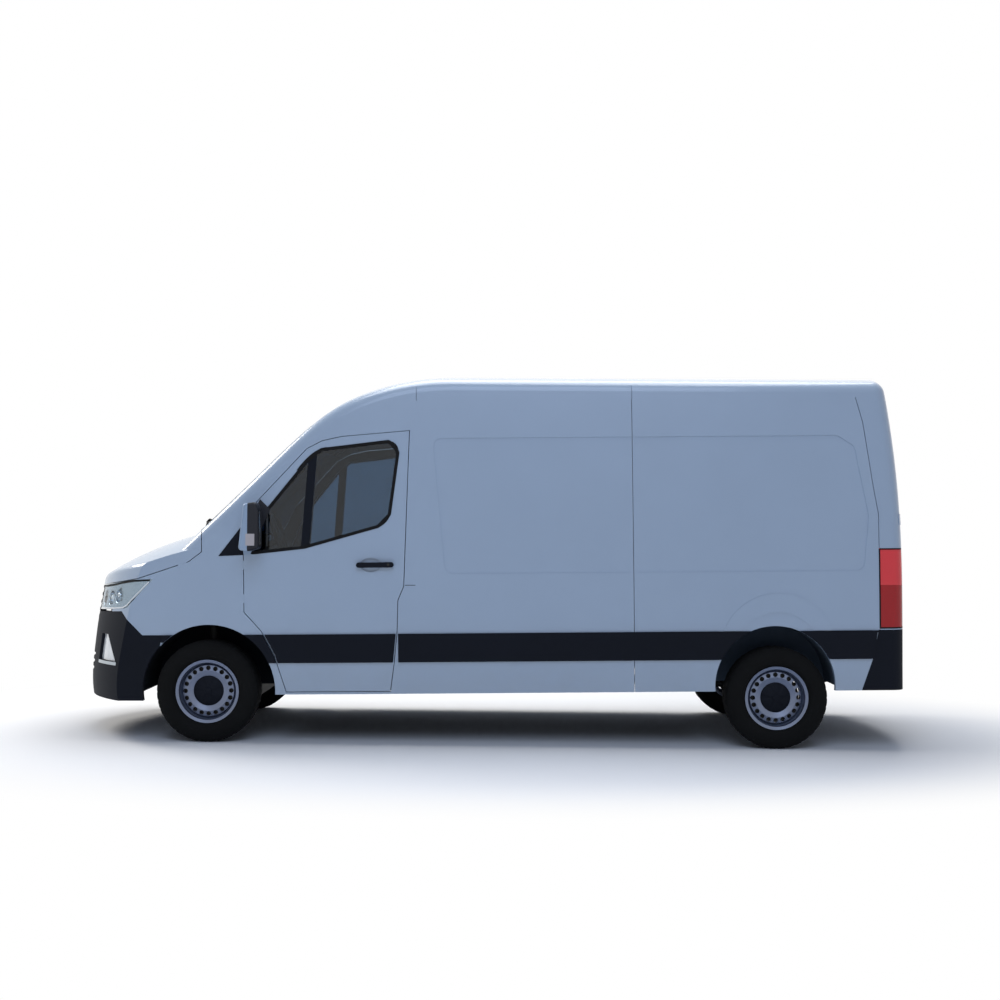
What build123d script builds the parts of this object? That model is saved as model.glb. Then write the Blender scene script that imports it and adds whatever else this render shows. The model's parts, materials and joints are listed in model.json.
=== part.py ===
from build123d import *
import math
import os

os.makedirs("parts", exist_ok=True)

# Sizes are in mm. X points to the nose, Y to the vehicle's left and Z up.
# The body is drawn level, with X = 0 on the front axle, and is then leaned nose-down.
wheelbase = 3924
front_overhang = 1004
rear_overhang = 1004
half_width = 997
tyre_radius = 350
nose_down = 75
rake = math.degrees(math.atan(nose_down / wheelbase))
front_track_half = 838
rear_track_half = 858
rear_x = -wheelbase - rear_overhang
rear_hub_z = tyre_radius - nose_down

# Body walls and shut lines
wall = 40
door_depth = 60
glass_depth = 6
lens_depth = 4
lamp_depth = 86
shut_gap = 5
seat_gap = 0.3
shoulder_radius = 90
hood_radius = 60

# Pressed and set-in details of the outer panels
recess_depth = 5
flare_height = 5
cup_depth = 18
fog_depth = 24
seam_width = 4

# Radii of the body's curved forms
side_curve = 16129
plan_curve = 36300
crown_axis_z = -2030
rear_curve = 3430
nose_curve = 1332

# Heights on the level body
sill_z = 330
band_low_z = 547
band_high_z = 742
shoulder_z = 2345
floor_z = 600
widest_z = 750

# Lengths on the level body
cab_rear_x = -1457
slide_rear_x = -2945
cowl_rear_x = -150
radiator_x = 760
arch_front = (-18, 352, 460)
arch_rear = (-3907, 364, 412)

# Steering
pivot_y = 675


def flank_y(x, z):
    """Half width of the body at one point of its side."""
    lean = (z - widest_z) ** 2 / (2 * side_curve)
    taper = max(0, x - cab_rear_x) ** 2 / (2 * plan_curve)
    return half_width - lean - taper


def flank_face(inset, low_y):
    """Cross-section behind the cab, from one side to a given line."""
    reach = 1900
    drop = reach**2 / (2 * side_curve)
    edge = half_width - inset
    plane = Plane(origin=(cab_rear_x, 0, widest_z), x_dir=(0, 1, 0), z_dir=(1, 0, 0))
    with BuildSketch(plane) as sketch:
        with BuildLine():
            ThreePointArc((edge - drop, -reach), (edge, 0), (edge - drop, reach))
            Polyline((edge - drop, reach), (low_y, reach), (low_y, -reach))
            Line((low_y, -reach), (edge - drop, -reach))
        make_face()
    return sketch.sketch


def flanks(inset):
    """Everything between the two sides, straight behind the cab and tapered in the cab."""
    half = extrude(flank_face(inset, 0), amount=-3700)
    straight = half + mirrored(half)
    axis = Axis((cab_rear_x, half_width - plan_curve, 0), (0, 0, 1))
    bend = math.degrees(math.asin(2700 / plan_curve))
    tapered = revolve(flank_face(inset, -1200), axis, -bend)
    return straight, tapered & mirrored(tapered)


def moved_in(line, inset):
    """Points of a profile, each moved inward square to it."""
    moved = []
    for i, (x, z) in enumerate(line):
        before = line[max(0, i - 1)]
        after = line[min(len(line) - 1, i + 1)]
        slope = math.atan2(after[1] - before[1], after[0] - before[0])
        moved.append((x + inset * math.sin(slope), z - inset * math.cos(slope)))
    return moved


def crowned(line, inset, straight_end=None):
    """Solid below a profile, crowned by turning it about a line far below the vehicle."""
    points = moved_in(line, inset)
    axis = Axis((0, 0, crown_axis_z), (1, 0, 0))
    with BuildSketch(Plane.XZ) as sketch:
        with BuildLine():
            if straight_end:
                slope = (points[0][0] - straight_end[0], points[0][1] - straight_end[1] + inset)
                Line((straight_end[0], straight_end[1] - inset), points[0])
                Spline(*points, tangents=[slope, (points[-1][0] - points[-2][0], points[-1][1] - points[-2][1])])
                first = (straight_end[0], straight_end[1] - inset)
            else:
                Spline(*points)
                first = points[0]
            Polyline(points[-1], (points[-1][0], 0), (first[0], 0), first)
        make_face()
    return revolve(sketch.sketch.rotate(axis, -30), axis, 60)


roof_tail = (-5200, 2527)
roof_line = [
    (-1700, 2572),
    (-1430, 2555),
    (-1138, 2490),
    (-900, 2390),
    (-652, 2207),
    (-300, 1883),
    (100, 1515),
    (440, 1202),
]
hood_line = [(-300, 1545), (152, 1450), (506, 1338), (800, 1190), (1050, 980)]
rear_line = [(175, 2700), (68, 2100), (8, 1400), (0, 900), (0, 0)]
nose_line = [(-40, 150), (0, 371), (-19, 640), (-48, 856), (-86, 1073), (-240, 1650)]


def turned_end(line, tip_x, curve, inset, facing):
    """Half a round solid whose profile is the rear or the nose seen from the side."""
    axis_x = tip_x - facing * curve
    axis = Axis((axis_x, 0, 0), (0, 0, 1))
    points = [(tip_x + facing * (dx * facing - inset), z) for dx, z in line]
    low, high = sorted((points[0], points[-1]), key=lambda point: point[1])
    with BuildSketch(Plane.XZ) as sketch:
        with BuildLine():
            Spline(*points)
            Polyline(high, (axis_x, high[1]), (axis_x, low[1]), low)
        make_face()
    return revolve(sketch.sketch.rotate(axis, -90), axis, 180)


def rear_end(inset):
    """Everything ahead of the curved rear."""
    ahead = block(rear_x + rear_curve, 2000, -4500, 4500, 0, 2700)
    return turned_end(rear_line, rear_x, rear_curve, inset, -1) + ahead


def outer_form(inset):
    """Whole body form, moved inward by a wall's thickness."""
    straight, tapered = flanks(inset)
    upper = crowned(roof_line, inset, roof_tail)
    nose = turned_end(nose_line, front_overhang, nose_curve, inset, 1)
    load = (straight & upper) & rear_end(inset)
    cab = (tapered & upper) + (tapered & (nose & crowned(hood_line, inset)))
    return load + cab


def corner_form(inset):
    """Both sides of the cab and the nose, moved inward."""
    return flanks(inset)[1] & turned_end(nose_line, front_overhang, nose_curve, inset, 1)


def on_shoulder(edge):
    """True for the long edges along the roof, the windscreen and the rear corners."""
    bounds = edge.bounding_box()
    return bounds.max.Z > 2100 and bounds.size.X > 1 and edge.length > 100


def on_hood_front(edge):
    """True for the edge where the hood meets the nose."""
    bounds = edge.bounding_box()
    return bounds.min.X > 400 and bounds.size.Y > 1500 and bounds.min.Z > 900


def side_prism(points, low_y=0, high_y=1300, radius=0, slack=0):
    """Prism across the left side of the body, from an outline seen from the side."""
    with BuildSketch(Plane.XZ) as sketch:
        with BuildLine():
            Polyline(*points, close=True)
        make_face()
        if radius:
            fillet(sketch.vertices(), radius)
        if slack:
            offset(amount=-slack, kind=Kind.INTERSECTION)
    return Pos(0, high_y, 0) * extrude(sketch.sketch, amount=high_y - low_y)


def end_prism(points, low_x, high_x, radius=0, slack=0):
    """Prism along the body, from an outline seen from the end."""
    with BuildSketch(Plane.YZ) as sketch:
        with BuildLine():
            Polyline(*points, close=True)
        make_face()
        if radius:
            fillet(sketch.vertices(), radius)
        if slack:
            offset(amount=-slack, kind=Kind.INTERSECTION)
    return Pos(low_x, 0, 0) * extrude(sketch.sketch, amount=high_x - low_x)


def block(low_x, high_x, low_y, high_y, low_z, high_z):
    """Plain box between its six limits."""
    size = (high_x - low_x, high_y - low_y, high_z - low_z)
    middle = ((low_x + high_x) / 2, (low_y + high_y) / 2, (low_z + high_z) / 2)
    return Pos(*middle) * Box(*size)


def across(x, z, radius, low_y, high_y):
    """Round bar across the body."""
    bar = Cylinder(radius, high_y - low_y)
    return Pos(x, (low_y + high_y) / 2, z) * Rot(90, 0, 0) * bar


def mirrored(shape):
    """The same shape on the right side."""
    return mirror(shape, Plane.XZ)


nodes = {}


def level(name, shape):
    """Lean a shape of the level body onto its axles and keep it as a node."""
    hub = Pos(0, 0, tyre_radius)
    middle = Pos((wheelbase + rear_overhang - front_overhang) / 2, 0, 0)
    nodes[name] = middle * hub * Rot(0, rake, 0) * hub.inverse() * shape


# Forms of the body at the depths of its walls
plain_form = outer_form(0)
outside = fillet([edge for edge in plain_form.edges() if on_shoulder(edge)], shoulder_radius)
outside = fillet([edge for edge in outside.edges() if on_hood_front(edge)], hood_radius)
inside = outer_form(wall)
load_seat, cab_seat = flanks(wall + seat_gap)
door_inside = flanks(door_depth)[1]
glass_inside = flanks(glass_depth)[1]
screen_inside = crowned(roof_line, glass_depth, roof_tail)
leaf_inside = turned_end(rear_line, rear_x, rear_curve, door_depth, -1)
leaf_recess = turned_end(rear_line, rear_x, rear_curve, recess_depth, -1)
panel_recess = flanks(recess_depth)[0]
flare_form = flanks(-flare_height)[0]
cup_form = flanks(cup_depth)[1]
fog_form = corner_form(fog_depth)
lamp_rear_form = turned_end(rear_line, rear_x, rear_curve, recess_depth, -1)
lens_inside = corner_form(lens_depth)
lamp_front = corner_form(lens_depth + seat_gap)
lamp_back = corner_form(lamp_depth)
print("forms")

# Outlines seen from the left side, as x and height
door_outline = [
    (-1407, 2135),
    (-1363, 1067),
    (-1322, 971),
    (-1315, 752),
    (-1294, 542),
    (-1267, 350),
    (-555, 350),
    (-475, 599),
    (-388, 766),
    (-269, 897),
    (-267, 1285),
    (-247, 1440),
    (-353, 1648),
    (-703, 2016),
    (-808, 2070),
    (-945, 2099),
]
window_outline = [
    (-1270, 2064),
    (-1330, 1990),
    (-1270, 1560),
    (-1192, 1479),
    (-685, 1340),
    (-300, 1300),
    (-431, 1600),
    (-703, 1930),
    (-800, 2010),
]
hood_side = [(-160, 1600), (-60, 1380), (118, 1248), (468, 1135), (1200, 1020), (1200, 1700)]
hood_plan = [(215, 0), (200, 300), (150, 550), (60, 790), (20, 1000), (1200, 1000)]
lamp_side = [(363, 1128), (555, 925), (1200, 870), (1200, 1100)]
bumper_side = [(300, band_high_z), (440, band_high_z), (600, 905), (1200, 860), (1200, 290)]
bumper_side += [(440, 290), (400, 330)]
fog_side = [(728, 738), (640, 556), (1200, 556), (1200, 738)]
grille_face = [(-450, 1200), (450, 1200), (470, 930), (370, 715), (-370, 715), (-470, 930)]
intake_face = [(-520, 606), (520, 606), (480, 440), (-480, 440)]
panel_side = [(-1568, 2083), (-4355, 2083), (-4470, 2010), (-4560, 1520), (-4520, 1150)]
panel_side += [(-1650, 1150)]
pillar_seam = [(-4455, 2472), (-4533, 2174), (-4592, 1742), (-4626, 1536), (-4626, 1303)]
quarter_side = [(-91, 1283), (-240, 1288), (-240, 1445), (-284, 1530)]
sail_side = [(-262, 1289), (-310, 1289), (-450, 1602), (-380, 1672), (-250, 1445)]
divider_side = [(-782, 2080), (-724, 2080), (-656, 1290), (-714, 1290)]
rear_bumper_side = [(-4616, 745), (-4581, 560), (-4499, sill_z), (-5200, sill_z), (-5200, 745)]
screen_outline = [(-840, 1480), (840, 1480), (730, 2215), (-730, 2215)]


def grown_prism(points, amount, low_y=0, high_y=1300):
    """Prism of an outline pushed outward for a shut line."""
    with BuildSketch(Plane.XZ) as sketch:
        with BuildLine():
            Polyline(*points, close=True)
        make_face()
        offset(amount=amount, kind=Kind.INTERSECTION)
    return Pos(0, high_y, 0) * extrude(sketch.sketch, amount=high_y - low_y)


def plan_prism(points, amount):
    """Upright prism of an outline seen from above, pushed outward for a shut line."""
    half = list(points)
    whole = half + [(x, -y) for x, y in reversed(half) if y]
    with BuildSketch(Plane.XY.offset(900)) as sketch:
        with BuildLine():
            Polyline(*whole, close=True)
        make_face()
        if amount:
            offset(amount=amount, kind=Kind.INTERSECTION)
    return extrude(sketch.sketch, amount=800)


def both(shape):
    """The shape and its mirror image."""
    return shape + mirrored(shape)


def layer(zone, depth_form):
    """Part of the body's wall inside a zone."""
    return (outside & zone) - depth_form


door_side = side_prism(door_outline, 500)
door_opening = grown_prism(door_outline, shut_gap, 500)
window_side = side_prism(window_outline, 500, radius=20)
window_fit = side_prism(window_outline, 500, radius=20, slack=seat_gap)
arch_front_cut = across(*arch_front, 480, 1300)
arch_rear_cut = across(*arch_rear, 600, 1300)
arches = both(arch_front_cut) + both(arch_rear_cut)
hood_zone = side_prism(hood_side, -1300) & plan_prism(hood_plan, 0)
hood_space = grown_prism(hood_side, shut_gap, -1300) & plan_prism(hood_plan, shut_gap)
rear_opening = block(-6000, rear_x + 330, -870, 870, 555, 2330)
rear_bumper_zone = side_prism(rear_bumper_side, -1300) - block(-6000, 0, -870, 870, 555, 800)

# Cab doors with their glass, split by an upright bar
divider = side_prism(divider_side, 500)
divider_gap = grown_prism(divider_side, seat_gap, 500)
handle_x = -1170
handle_z = 1215
cup = Pos(handle_x + 30, 900, handle_z) * Rot(90, 0, 0) * extrude(Ellipse(72, 49), amount=200, both=True)
left_door = layer(door_side - window_side, door_inside) - (cup - cup_form)
left_glass = layer(window_fit - divider_gap, glass_inside)
level("cab_door_left", left_door)
level("cab_door_right", mirrored(left_door))
level("door_glass_left", left_glass)
level("door_glass_right", mirrored(left_glass))

# Plastic trim of the sides
trim_depth = 12
handle_length = 256
handle_height = 36
handle_reach = 34
handle_wall = 12
slide_handle_x = cab_rear_x - 230


def trim_band(low_x, high_x):
    """Rub strip that follows the left side at one height."""
    count = 5
    places = [low_x + (high_x - low_x) * i / (count - 1) for i in range(count)]
    inner = [(x, flank_y(x, widest_z) + seat_gap) for x in places]
    outer = [(x, y + trim_depth) for x, y in reversed(inner)]
    with BuildSketch(Plane.XY.offset(band_low_z)) as sketch:
        with BuildLine():
            Spline(*inner)
            Spline(*outer)
            Line(inner[-1], outer[0])
            Line(outer[-1], inner[0])
        make_face()
    return extrude(sketch.sketch, amount=band_high_z - band_low_z)


def pull_handle(x, z, form):
    """Pull handle that stands off a form of the left side between two feet."""
    outer_y = flank_y(x, z) + handle_reach
    with BuildSketch(Plane.XZ) as sketch:
        SlotOverall(handle_length, handle_height)
    bar = Pos(x, outer_y, z) * extrude(sketch.sketch, amount=2 * handle_reach)
    grip = block(x - 60, x + 84, 0, outer_y - handle_wall, z - handle_height, z + handle_height)
    return (bar - grip) - form


cab_seat_out, load_seat_out = flanks(-seat_gap)[1], flanks(-seat_gap)[0]
cover_form = flanks(-4)[1]
door_fit = side_prism(door_outline, 500, slack=1)
front_band = trim_band(-560, -200) - door_opening - arch_front_cut
quarter_cover = ((side_prism(quarter_side, 500) - door_opening) & cover_form) - cab_seat_out
divider_bar = layer(divider & window_fit, door_inside)
door_band = trim_band(-1310, -380) & side_prism(door_outline, 500, slack=6)
door_trim = door_band + pull_handle(handle_x, handle_z, cab_seat_out) + divider_bar
level("door_trim_left", door_trim)
level("door_trim_right", mirrored(door_trim))
side_trim = trim_band(arch_rear[0] + 385, -1325) + trim_band(-4570, arch_rear[0] - 385)
side_trim += front_band + quarter_cover
slide_handle = pull_handle(slide_handle_x, handle_z, load_seat_out)
level("side_trim_left", side_trim)
level("side_trim_right", mirrored(side_trim + slide_handle))

# Outside mirrors
mirror_side = [(-262, 1325), (-300, 1640), (-385, 1650), (-404, 1580), (-402, 1335), (-335, 1318)]
mirror_low_y = 1025
mirror_high_y = 1170
mirror_radius = 18


def mirror_housing():
    """Outside mirror on the left door, with its arm, its foot and a pocket for the glass."""
    housing = side_prism(mirror_side, mirror_low_y, mirror_high_y, radius=25)
    rims = housing.faces().sort_by(Axis.Y)
    housing = fillet(rims[-1].edges() + rims[0].edges(), mirror_radius)
    housing -= block(-420, -394, mirror_low_y + 22, mirror_high_y - 22, 1352, 1598)
    arm = block(-372, -312, 900, mirror_low_y + 25, 1345, 1402)
    foot = (side_prism(sail_side, 500) & door_fit) & cover_form
    return housing + ((arm + foot) - cab_seat_out)


left_mirror = mirror_housing()
level("mirror_left", left_mirror)
level("mirror_right", mirrored(left_mirror))
print("doors")

# Windscreen, hood, roof and cab frame
screen_zone = end_prism(screen_outline, -1000, 500, radius=40)
screen_fit = end_prism(screen_outline, -1000, 500, radius=40, slack=seat_gap)
level("windscreen", layer(screen_fit, screen_inside))
level("hood", layer(hood_zone, inside))
roof = layer(block(-6000, -700, -1300, 1300, shoulder_z, 2800), inside)
for seam_x in (cab_rear_x, slide_rear_x):
    roof -= both(block(seam_x - seam_width / 2, seam_x + seam_width / 2, 897, 1300, 2300, 2480))
level("roof", roof)
cab_zone = block(cab_rear_x, cowl_rear_x, -1300, 1300, sill_z, shoulder_z)
cab_zone -= both(door_opening) + screen_zone + arches
hinge_leaf = grown_prism(door_outline, shut_gap, 500) - grown_prism(door_outline, seat_gap, 500)
hinge_leaf &= block(-300, -200, 0, 1300, 960, 1020) + block(-300, -200, 0, 1300, 1190, 1250)
cab_frame = layer(cab_zone - hood_space, inside) + layer(both(hinge_leaf), inside)
level("cab_frame", cab_frame)
print("cab")

# Grille: a frame with slats that follow the nose
slat_count = 6
slat_low_z = 742
slat_pitch = 54
slat_open = 38
frame_width = 26
grille_space = end_prism(grille_face, 600, 1300, slack=-seat_gap)
grille_slots = end_prism(grille_face, 600, 1300, slack=frame_width)


def open_rows(opening, low_z, pitch, open_height, count):
    """Level slots across an opening, one above another."""
    rows = [
        opening & block(600, 1300, -600, 600, low_z + i * pitch, low_z + i * pitch + open_height)
        for i in range(count)
    ]
    return Compound(rows)


grille = layer(end_prism(grille_face, 600, 1300) - hood_space, inside)
for row in open_rows(grille_slots, slat_low_z, slat_pitch, slat_open, slat_count).solids():
    grille -= row
level("grille", grille)

# Bumper with its lower intake and fog lamp pockets
bumper_zone = side_prism(bumper_side, -1300)
intake = end_prism(intake_face, 600, 1300)
bumper = layer((bumper_zone - grille_space) - arches - hood_space, inside)
for row in open_rows(intake, 452, 50, 36, 3).solids():
    bumper -= row
fog_pocket = side_prism(fog_side, 650, radius=10) - fog_form
level("front_bumper", bumper - both(fog_pocket))

# Headlamps: a clear lens in front of a housing with two bowls
lamp_zone = side_prism(lamp_side, 478) - hood_space - bumper_zone
left_lens = layer(lamp_zone, lens_inside)
lamp_bowls = Pos(905, 570, 985) * Sphere(62) + Pos(800, 700, 990) * Sphere(58)
left_lamp = ((lamp_zone & lamp_front) - lamp_back) & outside
level("headlamp_lens_left", left_lens)
level("headlamp_lens_right", mirrored(left_lens))
level("headlamp_left", left_lamp - lamp_bowls)
level("headlamp_right", mirrored(left_lamp - lamp_bowls))

# Front wings and cowl
wing_zone = block(cowl_rear_x, 700, 760, 1300, sill_z, 1700) - hood_space - door_opening
wing_zone = wing_zone - side_prism(lamp_side, 400) - bumper_zone - arches - screen_zone
hood_rest = grown_prism(hood_side, shut_gap) - grown_prism(hood_side, seat_gap)
hood_rest &= block(130, 190, 850, 1300, 1000, 1400)
left_wing = layer(wing_zone, inside) + layer(hood_rest, inside)
level("front_wing_left", left_wing)
level("front_wing_right", mirrored(left_wing))
cowl_zone = block(cowl_rear_x, 260, -759, 759, 1300, 1700) - screen_zone - hood_space
level("cowl", layer(cowl_zone, inside))
print("nose")

# Load space walls
lamp_rear_zone = block(-6000, -4625, 886, 1300, 752, 1303)
def behind_seam(shift):
    """Everything of the left half behind the rear pillar's seam."""
    seam = [(-4400, 2700), *pillar_seam, (-4626, sill_z - 50)]
    return side_prism([(x + shift, z) for x, z in seam] + [(-6000, sill_z - 50), (-6000, 2700)])


pressed_panel = side_prism(panel_side, 500, radius=60) - panel_recess
flare = across(-3930, 600, 400, 800, 1300) - across(-3925, 560, 308, 800, 1300)
flare &= block(-4400, -3400, 800, 1300, band_high_z + 2, 1100)


def side_stretch(low_x, high_x):
    """One panel of the left side between two seams."""
    zone = block(low_x, high_x, 0, 1300, sill_z, shoulder_z) - arch_rear_cut
    return layer(zone - rear_opening - rear_bumper_zone - lamp_rear_zone, inside)


front_side = side_stretch(slide_rear_x + seam_width, cab_rear_x) - pressed_panel
rear_wall = side_stretch(-6000, slide_rear_x)
rear_side = (rear_wall - behind_seam(seam_width / 2)) - pressed_panel
rear_side += (flare & flare_form) - load_seat
rear_corner = rear_wall & behind_seam(-seam_width / 2)
leaf_half = 865
hinge_heights = (750, 1450, 2100)
for hinge_z in hinge_heights:
    spacer = block(-6000, rear_x + 330, leaf_half + seat_gap, leaf_half + 6, hinge_z, hinge_z + 60)
    rear_corner += layer(spacer, inside)
level("side_panel_left_front", front_side)
level("side_panel_left_rear", rear_side)
level("rear_corner_left", rear_corner)
level("sliding_door", mirrored(front_side))
level("side_panel_right_rear", mirrored(rear_side))
level("rear_corner_right", mirrored(rear_corner))
rear_lamp = layer(lamp_rear_zone, inside)
for lamp_joint_z in (900, 1034):
    lamp_slot = block(-6000, -4500, 886, 1300, lamp_joint_z, lamp_joint_z + seam_width)
    rear_lamp -= lamp_slot - lamp_rear_form
level("tail_lamp_left", rear_lamp)
level("tail_lamp_right", mirrored(rear_lamp))
level("rear_bumper", layer(rear_bumper_zone, inside))
leaf_zone = block(-6000, rear_x + 330, shut_gap / 2, leaf_half, 565, 2325)
leaf_panels = block(-6000, 0, 90, 790, 1330, 2240) + block(-6000, 0, 90, 790, 640, 1130)
rear_leaf = layer(leaf_zone, leaf_inside) - (leaf_panels - leaf_recess)
level("rear_door_left", rear_leaf)
level("rear_door_right", mirrored(rear_leaf))
print("load space")

# Floor, bulkhead, insulated lining and evaporator
liner_depth = 8
liner_front_y = 490
liner_rear_y = 640


def arch_liner(arch, inner_y, seat_form):
    """Round cover over one left wheel, closed on its inner side."""
    x, z, radius = arch
    cover = across(x, z, radius + liner_depth, inner_y - liner_depth, 1100)
    cover -= across(x, z, radius, inner_y, 1200)
    return (cover & seat_form) & block(x - 600, x + 600, 0, 1200, z, z + 600)


front_liner = arch_liner(arch_front, liner_front_y, cab_seat)
rear_liner = arch_liner(arch_rear, liner_rear_y, load_seat)
level("arch_liners", both(front_liner) + both(rear_liner))
front_house = across(arch_front[0], arch_front[1], arch_front[2] + 9, liner_front_y - 9, 1300)
rear_house = across(arch_rear[0], arch_rear[1], arch_rear[2] + 9, liner_rear_y - 9, 1300)
houses = both(front_house) + both(rear_house)
floor_low_z = floor_z - wall
floor = block(-4600, cab_rear_x, -1300, 1300, floor_low_z, floor_z) & load_seat
floor += block(cab_rear_x, -110, -915, 915, floor_low_z, floor_z)
rails = both(block(-4600, -500, 480, 580, 450, floor_low_z))
rails += both(block(-500, 560, 370, 450, 450, floor_low_z))
rails += block(-560, -480, -580, 580, 450, floor_low_z)
steps = both(block(cab_rear_x, -500, 860, 915, 345, floor_low_z))
fire_wall = block(-150, -110, -480, 480, floor_z, 1280)
level("floor", (floor + rails + steps + fire_wall) - houses)
bulkhead_zone = block(-1500, -1470, -1300, 1300, floor_z + seat_gap, 2430)
level("bulkhead", bulkhead_zone & load_seat)
lining = block(-4600, -1500 - seat_gap, -1300, 1300, floor_z + seat_gap, 2410) & load_seat
lining -= block(-6000, -1580, -800, 800, 670, 2340)
lining += both(block(-4390, -3430, 620, 810, 640, 860))
level("load_lining", lining - houses)
fan_depth = 24
evaporator = block(-1960, -1600, -600, 600, 2110, 2340 - seat_gap)
evaporator = chamfer(evaporator.edges().filter_by(Axis.Y).sort_by(Axis.Z)[:2], 50)
fan_pocket = Pos(-1960 + fan_depth / 2, 0, 2235) * Rot(0, 90, 0) * Cylinder(80, fan_depth)
for fan_y in (-350, 0, 350):
    evaporator -= Pos(0, fan_y, 0) * fan_pocket
level("evaporator", evaporator)
print("inside")

# Running gear
hub_z = tyre_radius
shaft_radius = 35


def rod(start, end, radius):
    """Round bar between two points."""
    run = Vector(*end) - Vector(*start)
    lower = (Align.CENTER, Align.CENTER, Align.MIN)
    return Plane(origin=start, z_dir=run) * Cylinder(radius, run.length, align=lower)


def rear_axle():
    """Beam axle with its differential and propeller shaft, on two leaf springs."""
    beam = across(-wheelbase, rear_hub_z, 38, -745, 745)
    stubs = across(-wheelbase, rear_hub_z, 29.7, -875, 875)
    with BuildSketch(Plane.XZ) as sketch:
        with BuildLine():
            ThreePointArc((-4600, 449), (-wheelbase, 320), (-3250, 449))
            ThreePointArc((-3250, 420), (-wheelbase, 290), (-4600, 420))
            Line((-3250, 449), (-3250, 420))
            Line((-4600, 420), (-4600, 449))
        make_face()
    spring = Pos(0, 565, 0) * extrude(sketch.sketch, amount=70)
    casing = Pos(-wheelbase, 0, rear_hub_z) * Sphere(125)
    shaft = rod((-wheelbase, 0, rear_hub_z), (28, 0, 410), shaft_radius)
    return beam + stubs + both(spring) + casing + shaft


level("rear_axle", rear_axle())
arm = block(-40, 40, 430, 700, 240, 270)
cross = block(-250, 250, -440, 440, 240, 330)
towers = block(-250, -190, 370, 440, 330, 450)
level("front_subframe", cross + both(arm) + both(towers))
engine = block(30, 560, -330, 330, 330 + seat_gap, 1000)
level("engine", chamfer(engine.edges().filter_by(Axis.X).sort_by(Axis.Z)[-2:], 90))
knuckle = Pos(0, pivot_y, (270.3 + 800) / 2) * Cylinder(30, 800 - 270.3)
knuckle += across(0, hub_z, 55, pivot_y, 765) + across(0, hub_z, 29.7, pivot_y, 855)
level("knuckle_left", knuckle)
level("knuckle_right", mirrored(knuckle))

# Radiator behind the grille, fuel tank and exhaust
radiator_core = block(radiator_x, radiator_x + 36, -350, 350, 480, 1000)
radiator_tank = fillet(block(radiator_x - 10, radiator_x + 46, 350, 410, 470, 1010).edges(), 12)
bracket = block(radiator_x + 30, 1000, 365, 395, 640, 680)
bracket &= turned_end(nose_line, front_overhang, nose_curve, wall + seat_gap, 1)
level("radiator", radiator_core + both(radiator_tank + bracket))
tank = fillet(block(-2520, -1620, 600, 860, 345, 520).edges(), 40)
tank_straps = block(-2400, -2340, 610, 850, 345, floor_low_z - seat_gap)
tank_straps += block(-1800, -1740, 610, 850, 345, floor_low_z - seat_gap)
level("fuel_tank", tank + (tank_straps - block(-6000, 0, 0, 1300, 0, 430)))
pipe_radius = 26
pipe_z = 400
silencer_y = -670
front_run = [(30 - seat_gap, -290, pipe_z), (-420, -290, pipe_z), (-860, silencer_y, pipe_z)]
front_run += [(-1900, silencer_y, pipe_z)]
tail_y = -600
rear_run = [(-2400, tail_y, pipe_z), (-4500, tail_y, pipe_z), (-4720, tail_y, 345)]


def pipe(route):
    """Round pipe along a route with bent corners."""
    path = FilletPolyline(*route, radius=120)
    start = Plane(origin=path @ 0, z_dir=path % 0)
    return sweep(start * Circle(pipe_radius), path)


silencer = fillet(block(-2450, -1850, silencer_y - 110, silencer_y + 90, 335, 490).edges(), 50)
hanger = block(-2200, -2140, silencer_y - 30, silencer_y + 10, 480, floor_low_z - seat_gap)
tail_hanger = block(-4440, -4410, tail_y - 10, tail_y + 10, pipe_z, floor_low_z - seat_gap)
level("exhaust", pipe(front_run) + silencer + hanger + tail_hanger + pipe(rear_run))

barrel_profile = [
    (218, -92),
    (218, -84),
    (204, -80),
    (204, -50),
    (186, -38),
    (186, 8),
    (204, 28),
    (204, 80),
    (218, 84),
    (218, 92),
    (198, 86),
    (198, 34),
    (180, 14),
    (180, -44),
    (198, -56),
    (198, -86),
]
disc_profile = [
    (30, 12),
    (88, 12),
    (105, 40),
    (140, 52),
    (176, 44),
    (186, 8),
    (184, -2),
    (168, 34),
    (140, 42),
    (110, 31),
    (94, 4),
    (30, 4),
]
sidewall = [(218, 80), (236, 107), (270, 117), (315, 112), (341, 94), (tyre_radius, 66)]
bead = (204.3, 76)


def turned(sketch):
    """Solid turned about the Y axis, its outer face towards the left."""
    return revolve(sketch, Axis.Y, 360)


def rim():
    """Pressed steel wheel with a ring of round holes."""
    with BuildSketch(Plane.XY) as sketch:
        for profile in (barrel_profile, disc_profile):
            with BuildLine():
                Polyline(*profile, close=True)
            make_face()
    shape = turned(sketch.sketch)
    for i in range(hole_count):
        turn = 2 * math.pi * i / hole_count
        x, z = hole_circle * math.cos(turn), hole_circle * math.sin(turn)
        shape -= across(x, z, hole_radius, 0, 80)
    return shape


def tyre():
    """Tyre with rounded side walls and a plain tread."""
    inner_wall = [(radius, -y) for radius, y in sidewall]
    with BuildSketch(Plane.XY) as sketch:
        with BuildLine():
            Spline(*sidewall)
            Line(sidewall[-1], inner_wall[-1])
            Spline(*inner_wall)
            Polyline(inner_wall[0], (bead[0], -bead[1]), bead, sidewall[0])
        make_face()
    return turned(sketch.sketch)


hole_count = 20
hole_radius = 16
hole_circle = 158
rim_shape = rim()
tyre_shape = tyre()
for axle, hub_x, track, height in (
    ("front", 0, front_track_half, hub_z),
    ("rear", -wheelbase, rear_track_half, rear_hub_z),
):
    for side in ("left", "right"):
        for piece, shape in (("tyre", tyre_shape), ("rim", rim_shape)):
            placed = Pos(hub_x, track, height) * shape
            if side == "right":
                placed = mirrored(placed)
            level(f"{piece}_{axle}_{side}", placed)

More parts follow.
